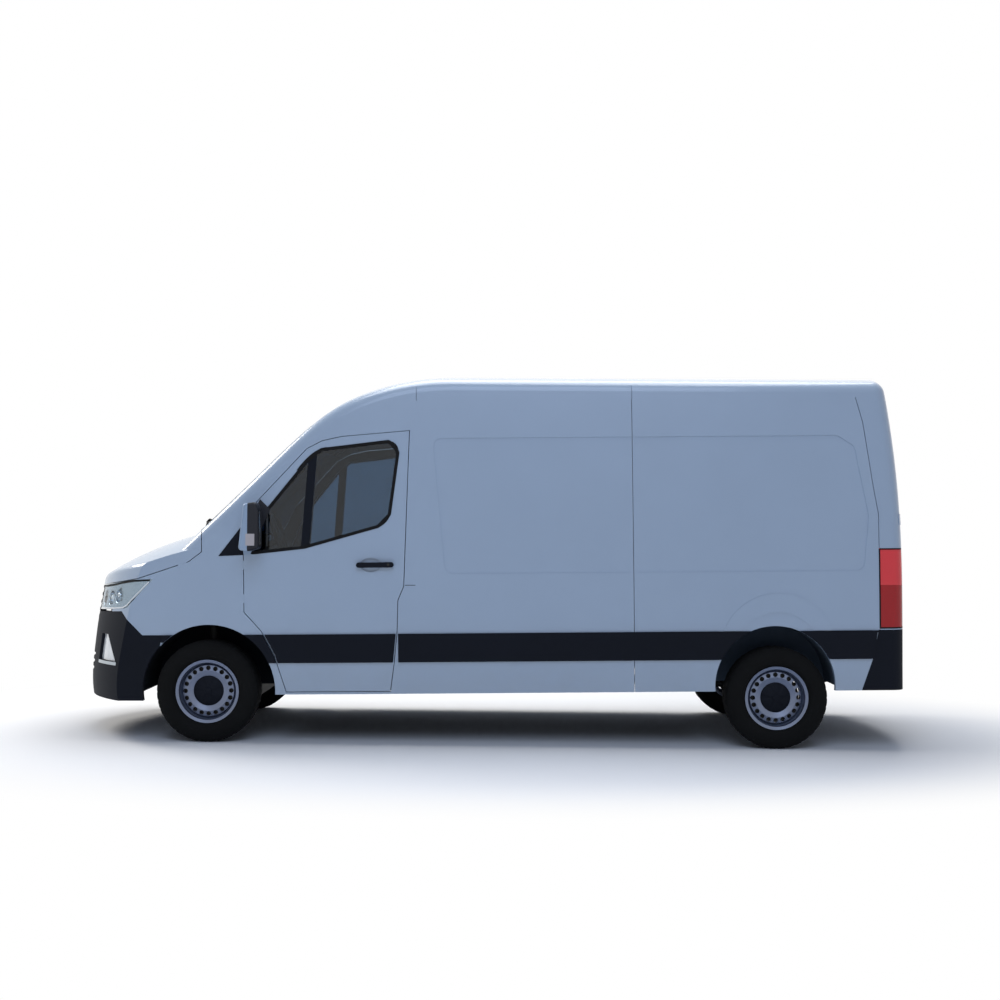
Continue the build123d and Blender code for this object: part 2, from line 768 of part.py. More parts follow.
# Cab interior
dash_outline = [
    (-150 - seat_gap, 900),
    (-150 - seat_gap, 1290),
    (60, 1290),
    (60, 1400),
    (-330, 1370),
    (-370, 1230),
    (-350, 1050),
    (-300, 900),
]
hood_outline = [(-345, 1330), (-352, 1425), (-320, 1448), (-120, 1432), (-40, 1380)]
stack_outline = [(-340, 1300), (-400, 1240), (-395, 960), (-300, 905)]
dash_shape = side_prism(dash_outline, -780, 780)
dash_shape += side_prism(hood_outline, 250, 560, radius=8)
dash_shape += side_prism(stack_outline, -150, 150)
level("dashboard", dash_shape)
wheel_place = Pos(-437, 400, 1388) * Rot(0, -70, 0)
column = Pos(0, 0, -80) * Cylinder(22, 160)
spoke = Box(380, 30, 12) + Box(30, 380, 12) + Cylinder(62, 30)
level("steering_wheel", wheel_place * (Torus(195, 15) + column + spoke) - dash_shape)

# Seats, drawn from the side facing the nose
cushion_outline = [(-1230, 858), (-700, 858), (-655, 900), (-668, 972), (-725, 988), (-1150, 958)]
cushion_outline += [(-1230, 958)]
back_outline = [(-1180, 950), (-1255, 1555), (-1300, 1592), (-1355, 1580), (-1330, 1400), (-1290, 950)]
head_outline = [(-1285, 1630), (-1272, 1770), (-1305, 1795), (-1352, 1785), (-1362, 1645)]
seat_radius = 18
head_half = 125


def seat(width, head_places):
    """Seat on its base with head restraints."""
    half = width / 2
    base = block(-1130, -700, -half + 40, half - 40, floor_z + seat_gap, 862)
    shape = base + side_prism(cushion_outline, -half, half, radius=seat_radius)
    shape += side_prism(back_outline, -half + 10, half - 10, radius=seat_radius)
    for y in head_places:
        shape += side_prism(head_outline, y - head_half, y + head_half, radius=seat_radius)
        shape += Pos(-1320, y - 60, 1610) * Cylinder(7, 100) + Pos(-1320, y + 60, 1610) * Cylinder(7, 100)
    return shape


level("seat_driver", Pos(0, 400, 0) * seat(500, (0,)))
level("seat_bench", Pos(0, -370, 0) * seat(860, (-215, 215)))

for part_name, part_shape in nodes.items():
    print(part_name, len(part_shape.solids()), round(part_shape.volume / 1e6, 2))
    export_step(part_shape, f"parts/{part_name}.step")
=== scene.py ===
# %% [markdown]
# # Refrigerated panel van
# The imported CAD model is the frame: panels, doors, glass, wheels and running gear, each a
# node of its own on a moving body. This lesson gives each node the finish of the real one
# and adds what the solids leave plain: tread, lamps, seals, wipers, upholstery, fittings.

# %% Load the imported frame
import json
import math

import bmesh
import bpy
from mathutils import Matrix, Vector
from mathutils.bvhtree import BVHTree


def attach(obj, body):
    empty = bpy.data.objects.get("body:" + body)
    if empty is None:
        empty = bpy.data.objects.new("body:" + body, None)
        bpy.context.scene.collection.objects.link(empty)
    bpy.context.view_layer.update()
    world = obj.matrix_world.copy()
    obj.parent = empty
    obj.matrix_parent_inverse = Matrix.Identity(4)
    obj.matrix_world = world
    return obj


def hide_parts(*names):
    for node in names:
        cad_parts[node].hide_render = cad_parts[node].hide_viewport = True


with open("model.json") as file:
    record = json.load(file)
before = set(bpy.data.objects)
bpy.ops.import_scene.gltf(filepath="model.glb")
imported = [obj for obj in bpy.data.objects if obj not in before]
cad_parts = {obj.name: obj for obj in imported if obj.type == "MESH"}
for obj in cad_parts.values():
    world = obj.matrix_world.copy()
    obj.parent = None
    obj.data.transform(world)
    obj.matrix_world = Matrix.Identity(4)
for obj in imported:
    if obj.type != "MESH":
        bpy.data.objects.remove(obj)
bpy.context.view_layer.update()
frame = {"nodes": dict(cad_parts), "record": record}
nodes = frame["nodes"]
print(len(nodes), "CAD nodes")

# %% [markdown]
# ## Level body and leaning frame
# An empty van stands nose down on its stiff rear springs. Sizes are easier to read on a
# level body, in metres: X from the front axle to the nose, Y to the left, Z up from the
# ground. One matrix, LEVEL, leans each finished mesh onto the real axles.

# %% The level body's sizes
WHEELBASE = 3.924
TYRE_RADIUS = 0.350
NOSE_DOWN = 0.075
MIDDLE_X = 1.962
RAKE = math.atan(NOSE_DOWN / WHEELBASE)
LEVEL = (
    Matrix.Translation((MIDDLE_X, 0, TYRE_RADIUS))
    @ Matrix.Rotation(RAKE, 4, "Y")
    @ Matrix.Translation((0, 0, -TYRE_RADIUS))
)
SIDES = (("left", 1), ("right", -1))
HALF_WIDTH = 0.997
WIDEST_Z = 0.750
SIDE_CURVE = 16.129
PLAN_CURVE = 36.3
CAB_REAR_X = -1.457


def flank(x, z):
    """Point of the left side of the level body, which is curved in height and in plan."""
    lean = (z - WIDEST_Z) ** 2 / (2 * SIDE_CURVE)
    taper = max(0, x - CAB_REAR_X) ** 2 / (2 * PLAN_CURVE)
    return Vector((x, HALF_WIDTH - lean - taper, z))


print(f"the body leans {math.degrees(RAKE):.2f} degrees nose down")

# %% [markdown]
# ## How a material is built
# Each finish is one Principled shader. A coarse noise lets its colour drift between two
# shades, because no real surface is one flat colour, and a fine noise drives a Bump node
# where the real one has a grain. Both read Object coordinates, so their scale counts
# features per metre: 900 gives a grain of 1.1 mm. Colours are written in sRGB hex, as a
# picture shows them, and one function turns them into the linear light shaders use.

# %% Colours and nodes
def linear(text):
    """Linear colour of an sRGB hex text."""
    values = [int(text[i : i + 2], 16) / 255 for i in (1, 3, 5)]
    return [v / 12.92 if v <= 0.04045 else ((v + 0.055) / 1.055) ** 2.4 for v in values] + [1]


def shades(colour, vary):
    """A darker and a lighter shade of a colour."""
    base = linear(colour)
    return [[min(1, c * (1 + part)) for c in base[:3]] + [1] for part in (-vary, vary)]


def add(tree, kind, values=None, links=None, **settings):
    """Adds a node with its settings, its sockets' values and the sockets it reads."""
    node = tree.nodes.new("ShaderNode" + kind)
    for key, value in settings.items():
        setattr(node, key, value)
    for key, value in (values or {}).items():
        node.inputs[key].default_value = value
    for key, source in (links or {}).items():
        tree.links.new(source, node.inputs[key])
    return node


# %% One material
def material(name, colour, rough, vary=0.04, size=2.3, grain=None, bump=0.0, **shader_values):
    """Principled material with a soft colour variation and a fine bump."""
    mat = bpy.data.materials.new(name)
    mat.use_nodes = True
    tree = mat.node_tree
    shader = tree.nodes["Principled BSDF"]
    shader.inputs["Roughness"].default_value = rough
    shader.inputs["Base Color"].default_value = linear(colour)
    for key, value in shader_values.items():
        shader.inputs[key.replace("_", " ")].default_value = value
    if vary or grain:
        coords = add(tree, "TexCoord").outputs["Object"]
    if vary:
        noise = add(tree, "TexNoise", {"Scale": size, "Detail": 3}, {"Vector": coords})
        ramp = add(tree, "ValToRGB", links={"Fac": noise.outputs["Fac"]})
        for element, place, shade in zip(ramp.color_ramp.elements, (0.35, 0.65), shades(colour, vary)):
            element.position, element.color = place, shade
        tree.links.new(ramp.outputs["Color"], shader.inputs["Base Color"])
    if grain:
        fine = add(tree, "TexNoise", {"Scale": grain, "Detail": 4}, {"Vector": coords})
        relief = add(tree, "Bump", {"Strength": bump, "Distance": 0.001}, {"Height": fine.outputs["Fac"]})
        tree.links.new(relief.outputs["Normal"], shader.inputs["Normal"])
    return mat


# %% One colour over another
def colour_over(mat, share, colour):
    """Lays another colour over a material's own, by a share from 0 to 1."""
    tree = mat.node_tree
    base = tree.nodes["Principled BSDF"].inputs["Base Color"]
    reads = {"Factor": share, "A": base.links[0].from_socket}
    mix = add(tree, "Mix", {"B": linear(colour)}, reads, data_type="RGBA")
    tree.links.new(mix.outputs["Result"], base)


def road_dust(mat, colour, top_z, amount):
    """Adds a film of dust that thickens towards the ground."""
    tree = mat.node_tree
    coords = add(tree, "TexCoord").outputs["Object"]
    split = add(tree, "SeparateXYZ", links={"Vector": coords})
    reach = {"From Min": 0.25, "From Max": top_z, "To Min": amount, "To Max": 0.0}
    height = add(tree, "MapRange", reach, {"Value": split.outputs["Z"]})
    speck = add(tree, "TexNoise", {"Scale": 9, "Detail": 6}, {"Vector": coords})
    both = {0: height.outputs["Result"], 1: speck.outputs["Fac"]}
    cover = add(tree, "Math", links=both, operation="MULTIPLY")
    colour_over(mat, cover.outputs["Value"], colour)


# %% [markdown]
# ## Body finishes
# The van's outside is painted steel, grained and gloss plastic, and glass. The values
# start from those of the real materials and are matched to the photo's tones, and dust
# from the road greys what stands low.

# %% Paint, plastics and glass
# Baked white enamel under a thin clear coat, with soft, bright reflections. Its colour is a blue-grey, much darker
# than the real white: painted shade, as on a white van out of the sun under a blue sky.
PAINT = material("van_paint_painted_shade", "#9aaec5", 0.3, vary=0.012, grain=900, bump=0.015, Coat_Weight=0.6, Coat_Roughness=0.08)
road_dust(PAINT, "#8e918f", 0.9, 0.3)
# Moulded polypropylene with an etched grain: near black, and no highlight stands out.
PLASTIC = material("grained_black_plastic", "#0c111b", 0.65, vary=0.08, grain=700, bump=0.2, Specular_IOR_Level=0.12)
road_dust(PLASTIC, "#26282a", 0.7, 0.12)
# Polished acrylic: a dark mirror with sharp highlights.
GLOSS = material("black_gloss_trim", "#0b0d11", 0.15, vary=0.05, Specular_IOR_Level=0.4)
# Rough moulded polyethylene of the wheel arches: it swallows light.
LINER = material("arch_liner_plastic", "#0e141d", 0.85, vary=0.0, grain=300, bump=0.5, Specular_IOR_Level=0.15)
# Tempered glass with a light tint: clear, with a sheen that follows the sky.
GLASS = material("tinted_glass", "#6c8398", 0.02, vary=0.0, Transmission_Weight=1.0, IOR=1.45)
# Laminated glass, bent. The low IOR keeps a thick solid from bending the view like a lens.
SCREEN_GLASS = material("windscreen_glass", "#4a5967", 0.02, vary=0.0, Transmission_Weight=1.0, IOR=1.06)
# Fibreglass lining sheet with a gel coat: smooth, white and softly glossy.
LINING = material("white_lining_sheet", "#dfe3e4", 0.4, vary=0.02, grain=220, bump=0.1)
# Powder-coated sheet of the cooling unit: a satin light grey.
COVER = material("evaporator_cover", "#c9cdcf", 0.45, vary=0.02, grain=300, bump=0.05)
# Silvered glass: an even, sharp reflection.
MIRROR = material("mirror_glass", "#c6ccd2", 0.02, vary=0.01, Metallic=1.0)

# %% Lamps
# Clear polycarbonate cover, thin enough to show what lies behind it.
CLEAR = material("clear_lamp_lens", "#e6edf2", 0.04, vary=0.0, Transmission_Weight=1.0, IOR=1.1)
# Vapour-coated aluminium: a bright metal that spreads the sky a little.
CHROME = material("bright_reflector", "#a7b0b8", 0.22, vary=0.03, Metallic=1.0)
# Frosted clear plastic of fog lamps and light guides: white, with a hard gloss on top.
CLEAR_BRIGHT = material("fog_lamp_lens", "#dfe4e8", 0.1, vary=0.05, size=40, Coat_Weight=1.0)
# Red acrylic with prisms inside, which make its face look a little uneven.
RED = material("red_lamp_lens", "#c0262f", 0.15, grain=70, bump=0.5, vary=0.0, Specular_IOR_Level=0.3)
# The same acrylic over an unlit lamp: a deeper red.
RED_LENS = material("brake_lamp_lens", "#a3161d", 0.15, vary=0.05, size=30, Specular_IOR_Level=0.35)

# %% Metal, rubber and cab
# Sprayed underbody sealant: lumpy and dull.
UNDER = material("underbody_sealant", "#141517", 0.9, vary=0.15, grain=120, bump=0.6, Specular_IOR_Level=0.15)
# Black dip paint on rough chassis steel.
STEEL = material("black_chassis_paint", "#0f1011", 0.65, vary=0.15, grain=200, bump=0.2, Specular_IOR_Level=0.2)
# Bare steel gone dull: darker patches and a broad sheen.
BARE = material("dull_steel", "#343331", 0.6, vary=0.2, size=9, grain=150, bump=0.3, Metallic=0.7)
# Cast aluminium as it leaves the mould: pale and sandy.
ENGINE = material("cast_alloy", "#6b6d70", 0.55, vary=0.1, grain=150, bump=0.3, Metallic=0.8)
# Rolled fins, too fine to show one by one: a dark surface with a close texture.
FINS = material("radiator_fins", "#1c2025", 0.7, vary=0.1, size=60, grain=300, bump=0.4)
# Silver wheel enamel over pressed steel, with brake and road dust low down.
RIM = material("silver_wheel_paint", "#6f7a92", 0.32, vary=0.05, grain=600, bump=0.05, Metallic=0.6)
road_dust(RIM, "#6b6862", 0.6, 0.35)
# Vulcanised rubber with a bloom: a soft black that is never shiny.
RUBBER = material("tyre_rubber", "#101112", 0.85, vary=0.12, size=6, grain=250, bump=0.2, Specular_IOR_Level=0.12)
# Extruded rubber of the seals, a little smoother than a tyre.
SEAL = material("rubber_seal", "#0b0c0f", 0.7, vary=0.1, grain=400, bump=0.15, Specular_IOR_Level=0.15)
# Moulded cab plastic with a leather-like grain: no glare in the screen. Its navy cast is partly painted reflection of
# the sky in the window glass.
CABIN = material("cabin_plastic", "#212838", 0.7, vary=0.06, grain=900, bump=0.3)
# Pressed felt, which scatters all light. Its blue is partly painted reflection of the sky in the window glass.
HEADLINER = material("headliner_felt", "#434e68", 0.95, vary=0.05, grain=1200, bump=0.5)
# Light moulded covers of the pillars, in a blue-grey that is partly painted reflection of the sky in the window
# glass.
PILLAR = material("pillar_trim", "#8a9ab6", 0.7, vary=0.04, grain=900, bump=0.2)
print(len(bpy.data.materials), "materials so far")

# %% [markdown]
# ## Seat cloth
# Van seats wear a tight flat weave. Two wave textures cross each other like warp and weft,
# and their sum drives the bump, so the threads catch light without any picture. A wave
# repeats every 314 mm divided by its scale. At 220 that is a thread every 1.4 mm, a little
# coarser than the real cloth, so that it shows.

# %% Woven cloth
WAVE_SCALE = 220


def cloth(name, colour, wave_scale):
    """Woven seat cloth: two crossed sets of threads over a soft variation."""
    mat = material(name, colour, 0.95, vary=0.12, size=30, Sheen_Weight=0.3)
    tree = mat.node_tree
    coords = add(tree, "TexCoord").outputs["Object"]
    waves = [
        add(tree, "TexWave", {"Scale": wave_scale}, {"Vector": coords}, bands_direction=way).outputs["Fac"]
        for way in ("Y", "DIAGONAL")
    ]
    total = add(tree, "Math", links=dict(enumerate(waves)), operation="ADD")
    relief = add(tree, "Bump", {"Strength": 0.5, "Distance": 0.001}, {"Height": total.outputs["Value"]})
    tree.links.new(relief.outputs["Normal"], tree.nodes["Principled BSDF"].inputs["Normal"])
    return mat


FABRIC = cloth("woven_seat_cloth", "#2b2f37", WAVE_SCALE)
print("seat cloth with a thread every", round(314 / WAVE_SCALE, 1), "mm")

# %% [markdown]
# ## Parts of two colours
# Some parts change colour along a line: the tail lamp is brighter above its middle, the
# mirror's case has a painted strip, and the rear arch liners are greyer than the front
# ones. A colour ramp with a hard step along one axis paints them and leaves the CAD mesh
# in one piece.

# %% Bands of colour
BAND_REACH = 4
LAMP_SPLIT_Z = 1.126
LINER_SPLIT_X = 1.0
MIRROR_STRIP_X = 1.652


def banded(mat, axis, place, colours):
    """Gives a material one colour up to a place along an axis, in metres, and another past it."""
    tree = mat.node_tree
    split = add(tree, "SeparateXYZ", links={"Vector": add(tree, "TexCoord").outputs["Object"]})
    reach = add(tree, "MapRange", {"From Min": 0, "From Max": BAND_REACH}, {"Value": split.outputs[axis]})
    ramp = add(tree, "ValToRGB", links={"Fac": reach.outputs["Result"]})
    ramp.color_ramp.interpolation = "CONSTANT"
    for element, start, colour in zip(ramp.color_ramp.elements, (0, place), colours):
        element.position, element.color = start / BAND_REACH, linear(colour)
    tree.links.new(ramp.outputs["Color"], tree.nodes["Principled BSDF"].inputs["Base Color"])


# Moulded mirror case, smoother than the bumper and half glossy.
MIRROR_CASE = material("mirror_case", "#141923", 0.5, vary=0.0, Specular_IOR_Level=0.3)
for mat, axis, place, colours in (
    (RED, "Z", LAMP_SPLIT_Z, ("#b0161f", "#f04047")),
    (LINER, "X", LINER_SPLIT_X, ("#414c59", "#0c1118")),
    # The case's strip is the van paint's blue-grey, whose darkness is painted shade on a white strip.
    (MIRROR_CASE, "X", MIRROR_STRIP_X, ("#10141e", "#9aaec5")),
):
    banded(mat, axis, place, colours)
    print(mat.name, "changes colour at", axis, place)

# %% [markdown]
# ## The indicator on the mirror
# A pale oblong lens sits in the mirror's case. Its distance from the middle, counted in
# half sizes, is below 1 inside the oblong on both axes, and that test picks the colour.

# %% An oblong of another colour
INDICATOR_MIDDLE = (1.637, 0, 1.402)
INDICATOR_HALF = (0.030, 0.040)

tree = MIRROR_CASE.node_tree
coords = add(tree, "TexCoord").outputs["Object"]
shift = add(tree, "VectorMath", {1: INDICATOR_MIDDLE}, {0: coords}, operation="SUBTRACT")
halves = (1 / INDICATOR_HALF[0], 0, 1 / INDICATOR_HALF[1])
scaled = add(tree, "VectorMath", {1: halves}, {0: shift.outputs["Vector"]}, operation="MULTIPLY")
size = add(tree, "VectorMath", links={0: scaled.outputs["Vector"]}, operation="ABSOLUTE")
split = add(tree, "SeparateXYZ", links={"Vector": size.outputs["Vector"]})
most = add(tree, "Math", links={0: split.outputs["X"], 1: split.outputs["Z"]}, operation="MAXIMUM")
inside = add(tree, "Math", {1: 1}, {0: most.outputs["Value"]}, operation="LESS_THAN")
colour_over(MIRROR_CASE, inside.outputs["Value"], "#b9b3b4")
print("indicator of", *(round(2000 * half) for half in INDICATOR_HALF), "mm")

# %% [markdown]
# ## Finishes for the CAD nodes
# The record names a material slot for each node. A table turns slots into finishes, and a
# few nodes, such as the windscreen, have a finish of their own.

# %% Every node gets its finish
SLOTS = {
    "paint": PAINT,
    "bumper_plastic": PLASTIC,
    "liner_plastic": LINER,
    "lamp_clear": CLEAR,
    "lamp_housing": CHROME,
    "lamp_red": RED,
    "glass": GLASS,
    "underbody": UNDER,
    "lining": LINING,
    "evaporator_cover": COVER,
    "chassis_black": STEEL,
    "bare_steel": BARE,
    "engine_metal": ENGINE,
    "cab_plastic": CABIN,
    "seat_fabric": FABRIC,
    "tyre": RUBBER,
    "rim_steel": RIM,
}
SPECIAL = {"radiator": FINS, "mirror_left": MIRROR_CASE, "mirror_right": MIRROR_CASE, "windscreen": SCREEN_GLASS}
node_slots = {part["node"]: part["material_slot"] for part in frame["record"]["subparts"]}
for name, node in nodes.items():
    node.data.materials.clear()
    node.data.materials.append(SPECIAL.get(name, SLOTS[node_slots[name]]))
print(len(nodes), "nodes have a finish,", len(SPECIAL), "of them their own")

# %% [markdown]
# ## Making pieces
# New pieces are modelled as bmeshes on the level body, on its left side. One function ends
# them all alike: it merges doubles, mirrors the right-hand copy, leans the mesh with LEVEL
# and turns its faces outward. The object itself stays at the origin, so that patterns on
# Object coordinates keep their scale and place.

# %% From a bmesh to a piece
MERGE = 1e-5
SHARP = math.radians(35)


def as_piece(name, build, mat, body, smooth=True):
    """Makes an object of a bmesh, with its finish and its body."""
    mesh = bpy.data.meshes.new(name)
    build.to_mesh(mesh)
    build.free()
    if smooth:
        mesh.shade_smooth()
        mesh.set_sharp_from_angle(angle=SHARP)
    mesh.materials.append(mat)
    piece = bpy.data.objects.new(name, mesh)
    bpy.context.collection.objects.link(piece)
    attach(piece, body)
    return piece


def finish_piece(name, build, mat, body, place=LEVEL, mirrored=False, smooth=True):
    """Puts a bmesh in its place, with its faces outward, and makes it a piece."""
    bmesh.ops.remove_doubles(build, verts=build.verts, dist=MERGE)
    if mirrored:
        bmesh.ops.scale(build, vec=(1, -1, 1), verts=build.verts)
    bmesh.ops.transform(build, matrix=place, verts=build.verts)
    bmesh.ops.recalc_face_normals(build, faces=build.faces)
    return as_piece(name, build, mat, body, smooth)


# %% [markdown]
# ## Bars and strips
# Seals, wipers and trim are one cross-section carried along a line. Extruding the
# section's face and setting the new face at the next point leaves the bar's wall behind,
# which keeps the section from twisting. The faces left inside the bar are then deleted.

# %% A section carried along a line
def swept(build, section, places, closed=False):
    """Extrudes a flat section from place to place. A closed line ends where it began."""
    faces = [build.faces.new([build.verts.new(places[0] @ spot) for spot in section])]
    for place in places[1:] + places[:1] * closed:
        made = bmesh.ops.extrude_face_region(build, geom=faces[-1:])["geom"]
        faces.append(next(part for part in made if isinstance(part, bmesh.types.BMFace)))
        for vert, spot in zip(faces[-1].verts, section):
            vert.co = place @ spot
    bmesh.ops.delete(build, geom=faces if closed else faces[1:-1], context="FACES_ONLY")


# %% Flat strips and round bars
def strip(build, points, width, thick, closed=False):
    """Flat strip on a surface. Each point comes with its outward and crosswise direction."""
    half = width / 2
    section = [Vector((x, y, 0)) for x, y in ((-half, 0), (half, 0), (half, thick), (-half, thick))]
    places = [
        Matrix.Translation(point) @ Matrix((across, outward, across.cross(outward))).transposed().to_4x4()
        for point, outward, across in points
    ]
    swept(build, section, places, closed)


def tube(build, points, radius, sides=10):
    """Round bar along points."""
    angles = [2 * math.pi * k / sides for k in range(sides)]
    section = [Vector((math.cos(angle), math.sin(angle), 0)) * radius for angle in angles]
    places = [
        Matrix.Translation(point) @ (after - before).to_track_quat("Z", "Y").to_matrix().to_4x4()
        for before, point, after in zip(points[:1] + points[:-1], points, points[1:] + points[-1:])
    ]
    swept(build, section, places)


# %% [markdown]
# ## Lines on the body's side
# An outline is drawn in side view, in X and Z. Its corners are rounded and points are added,
# and then the body's own curve says how far out each point lies and which way is outward.

# %% Outlines
def bow(start, corner, end, steps):
    """Points of a smooth bend from start to end that heads for the corner between them."""
    parts = [step / steps for step in range(steps + 1)]
    return [(1 - t) ** 2 * start + 2 * t * (1 - t) * corner + t**2 * end for t in parts]


def rounded(corners, radius):
    """Closed outline with its corners rounded."""
    points = []
    for before, here, after in zip(corners[-1:] + corners[:-1], corners, corners[1:] + corners[:1]):
        to_before, to_after = Vector(before) - Vector(here), Vector(after) - Vector(here)
        half = to_before.angle(to_after) / 2
        reach = min(radius / math.tan(half), 0.45 * to_before.length, 0.45 * to_after.length)
        here = Vector(here)
        points += bow(here + to_before.normalized() * reach, here, here + to_after.normalized() * reach, 6)
    return points


def denser(points, gap, closed=True):
    """The same outline with points no further apart than a gap."""
    result = []
    for one, two in zip(points, points[1:] + points[:1] * closed):
        cuts = max(1, math.ceil((two - one).length / gap))
        result += [one.lerp(two, k / cuts) for k in range(cuts)]
    return result if closed else result + points[-1:]


# %% Strips along the side
STEP = 0.05


def along(points, closed=False):
    """Each point with the side's outward direction and the direction across the line."""
    result = []
    count = len(points)
    for i, point in enumerate(points):
        before = points[i - 1] if closed or i else points[0]
        after = points[(i + 1) % count] if closed or i < count - 1 else points[-1]
        run = (after - before).normalized()
        up = flank(point.x, point.z + 0.01) - flank(point.x, point.z - 0.01)
        back = flank(point.x - 0.01, point.z) - flank(point.x + 0.01, point.z)
        outward = up.cross(back).normalized()
        if outward.y < 0:
            outward = -outward
        result.append((point, outward, run.cross(outward).normalized()))
    return result


def side_line(name, outline, width, thick, mat, body, closed=False):
    """A strip that follows the body's side along an outline, on both sides of the van."""
    for side, sign in SIDES:
        points = [flank(p.x, p.y) for p in denser(outline, STEP, closed)]
        build = bmesh.new()
        strip(build, along(points, closed), width, thick, closed)
        finish_piece(f"{name}_{side}", build, mat, body.format(side=side), mirrored=sign < 0)
    print(name, "runs through", len(points), "points")


# %% [markdown]
# ## Turned parts, boxes and skins
# Wheels, pulleys and wire rings are spun from a profile. Fittings start as a box whose
# edges are bevelled, since no moulded edge is sharp. Thin covers copy the faces of a CAD
# node and lift them, so that they fit it exactly.

# %% Spin, box and skin
def spun(build, verts, middle, axis, steps):
    """Spins vertices and their edges right round an axis through a point."""
    edges = list(dict.fromkeys(edge for vert in verts for edge in vert.link_edges))
    bmesh.ops.spin(
        build, geom=verts + edges, cent=middle, axis=axis, angle=2 * math.pi, steps=steps, use_merge=True
    )


def turned(build, profile, steps, middle, axis=(0, 1, 0), out=(1, 0, 0)):
    """Spins a profile of (radius, place along the axis) about an axis."""
    verts = [build.verts.new(Vector(middle) + r * Vector(out) + y * Vector(axis)) for r, y in profile]
    for pair in zip(verts, verts[1:]):
        build.edges.new(pair)
    spun(build, verts, middle, axis, steps)


def rounded_box(build, low, high, offset, segments=3):
    """Box between two corners with rounded edges."""
    low, high = Vector(low), Vector(high)
    made = bmesh.ops.create_cube(build, size=1)["verts"]
    bmesh.ops.scale(build, vec=high - low, verts=made)
    bmesh.ops.translate(build, vec=(low + high) / 2, verts=made)
    edges = list(dict.fromkeys(edge for vert in made for edge in vert.link_edges))
    bmesh.ops.bevel(
        build,
        geom=edges,
        offset=offset,
        segments=segments,
        profile=0.5,
        affect="EDGES",
        material=-1,
        clamp_overlap=True,
    )


# %% Skin over a CAD node
def copied(node):
    """Bmesh of a CAD node, whose loose triangles are merged."""
    build = bmesh.new()
    build.from_mesh(nodes[node].data)
    bmesh.ops.remove_doubles(build, verts=build.verts, dist=MERGE)
    return build


def skin(name, node, keep, lift, mat, body):
    """Trim sheet over the faces of a CAD node that a test keeps, lifted off them."""
    build = copied(node)
    back = LEVEL.inverted()
    turn = back.to_3x3()
    drop = [face for face in build.faces if not keep(back @ face.calc_center_median(), turn @ face.normal)]
    bmesh.ops.delete(build, geom=drop, context="FACES")
    build.normal_update()
    for vert in build.verts:
        vert.co += vert.normal * lift
    print(name, "copies", len(build.faces), "faces of", node)
    return as_piece(name, build, mat, body)


# %% [markdown]
# ## Tyres
# A van tyre is a ring with grooves round it and short cuts, called sipes, across its outer
# ribs. Half a profile, listed point by point, gives both sidewalls, spinning it makes the
# ring, and moving every fifth row of tread points inward cuts the sipes.

# %% Profile of a tyre
FRONT_TRACK = 0.838
REAR_TRACK = 0.858
TREAD_STEPS = 180
TREAD_HALF = 0.086
SHOULDER_DROP = 0.002
GROOVES = (-0.058, -0.02, 0.02, 0.058)
GROOVE_DEPTH = 0.007
GROOVE_HALF = 0.004
SIPE_DEPTH = 0.004
SIPE_EVERY = 5
SIDEWALL = ((0.2043, 0.076), (0.218, 0.080), (0.226, 0.095), (0.238, 0.1085), (0.255, 0.1145), (0.275, 0.117))
SHOULDER = ((0.297, 0.1155), (0.318, 0.111), (0.334, 0.102), (0.343, 0.093))


def tread_line():
    """Profile across the tread: (radius, y), with each groove's edges and floor."""
    line = [(TYRE_RADIUS - SHOULDER_DROP, -TREAD_HALF)]
    for groove in GROOVES:
        line += [
            (TYRE_RADIUS, groove - GROOVE_HALF),
            (TYRE_RADIUS - GROOVE_DEPTH, groove - GROOVE_HALF * 0.6),
            (TYRE_RADIUS - GROOVE_DEPTH, groove + GROOVE_HALF * 0.6),
            (TYRE_RADIUS, groove + GROOVE_HALF),
        ]
    return line + [(TYRE_RADIUS - SHOULDER_DROP, TREAD_HALF)]


# %% Tyre with tread
def tyre(name, middle, mirrored, body):
    """Tyre with grooves round it and sipes across its outer ribs, in place of the plain one."""
    outer_wall = list(SIDEWALL + SHOULDER)
    profile = [(r, -y) for r, y in outer_wall] + tread_line() + list(reversed(outer_wall))
    bead_radius, bead_y = SIDEWALL[0]
    build = bmesh.new()
    turned(build, profile, TREAD_STEPS, middle)
    turned(build, [(bead_radius, bead_y), (bead_radius, -bead_y)], TREAD_STEPS, middle)
    for vert in build.verts:
        rel = vert.co - Vector(middle)
        radius = math.hypot(rel.x, rel.z)
        step = round(math.degrees(math.atan2(rel.z, rel.x)) / (360 / TREAD_STEPS))
        on_rib = radius > TYRE_RADIUS - 0.0015
        on_shoulder = 0.33 < radius < TYRE_RADIUS - 0.0019 and abs(rel.y) > TREAD_HALF - 0.001
        if step % SIPE_EVERY == 0 and (on_rib or on_shoulder):
            scale = (radius - (SIPE_DEPTH if on_rib else 0.75 * SIPE_DEPTH)) / radius
            vert.co.x = middle[0] + rel.x * scale
            vert.co.z = middle[2] + rel.z * scale
    return finish_piece(name, build, RUBBER, body, mirrored=mirrored)


# %% [markdown]
# ## Wheel caps, valves and brakes
# A dark domed cap hides the wheel bolts, and through the rim's holes one sees a brake disc
# in front and a drum behind. All are turned parts, like the real ones. The cap's flutes
# are made afterwards, by a cosine of the angle that lowers its face six times.

# %% Cap, valve and brake
CAP_PROFILE = ((0.0001, 0.062), (0.022, 0.061), (0.026, 0.0565), (0.060, 0.053), (0.088, 0.046), (0.103, 0.038))
CAP_PROFILE += ((0.106, 0.030), (0.106, 0.024), (0.092, 0.016))
CAP_SCOOPS = 6
SCOOP_DEPTH = 0.005
DISC = ((0.058, -0.006), (0.100, -0.006), (0.112, 0.010), (0.172, 0.010), (0.172, -0.012), (0.112, -0.018))
DISC += ((0.058, -0.018),)
DRUM = ((0.034, -0.006), (0.100, -0.006), (0.112, 0.008), (0.168, 0.008), (0.168, -0.078), (0.150, -0.086))
DRUM += ((0.034, -0.086),)


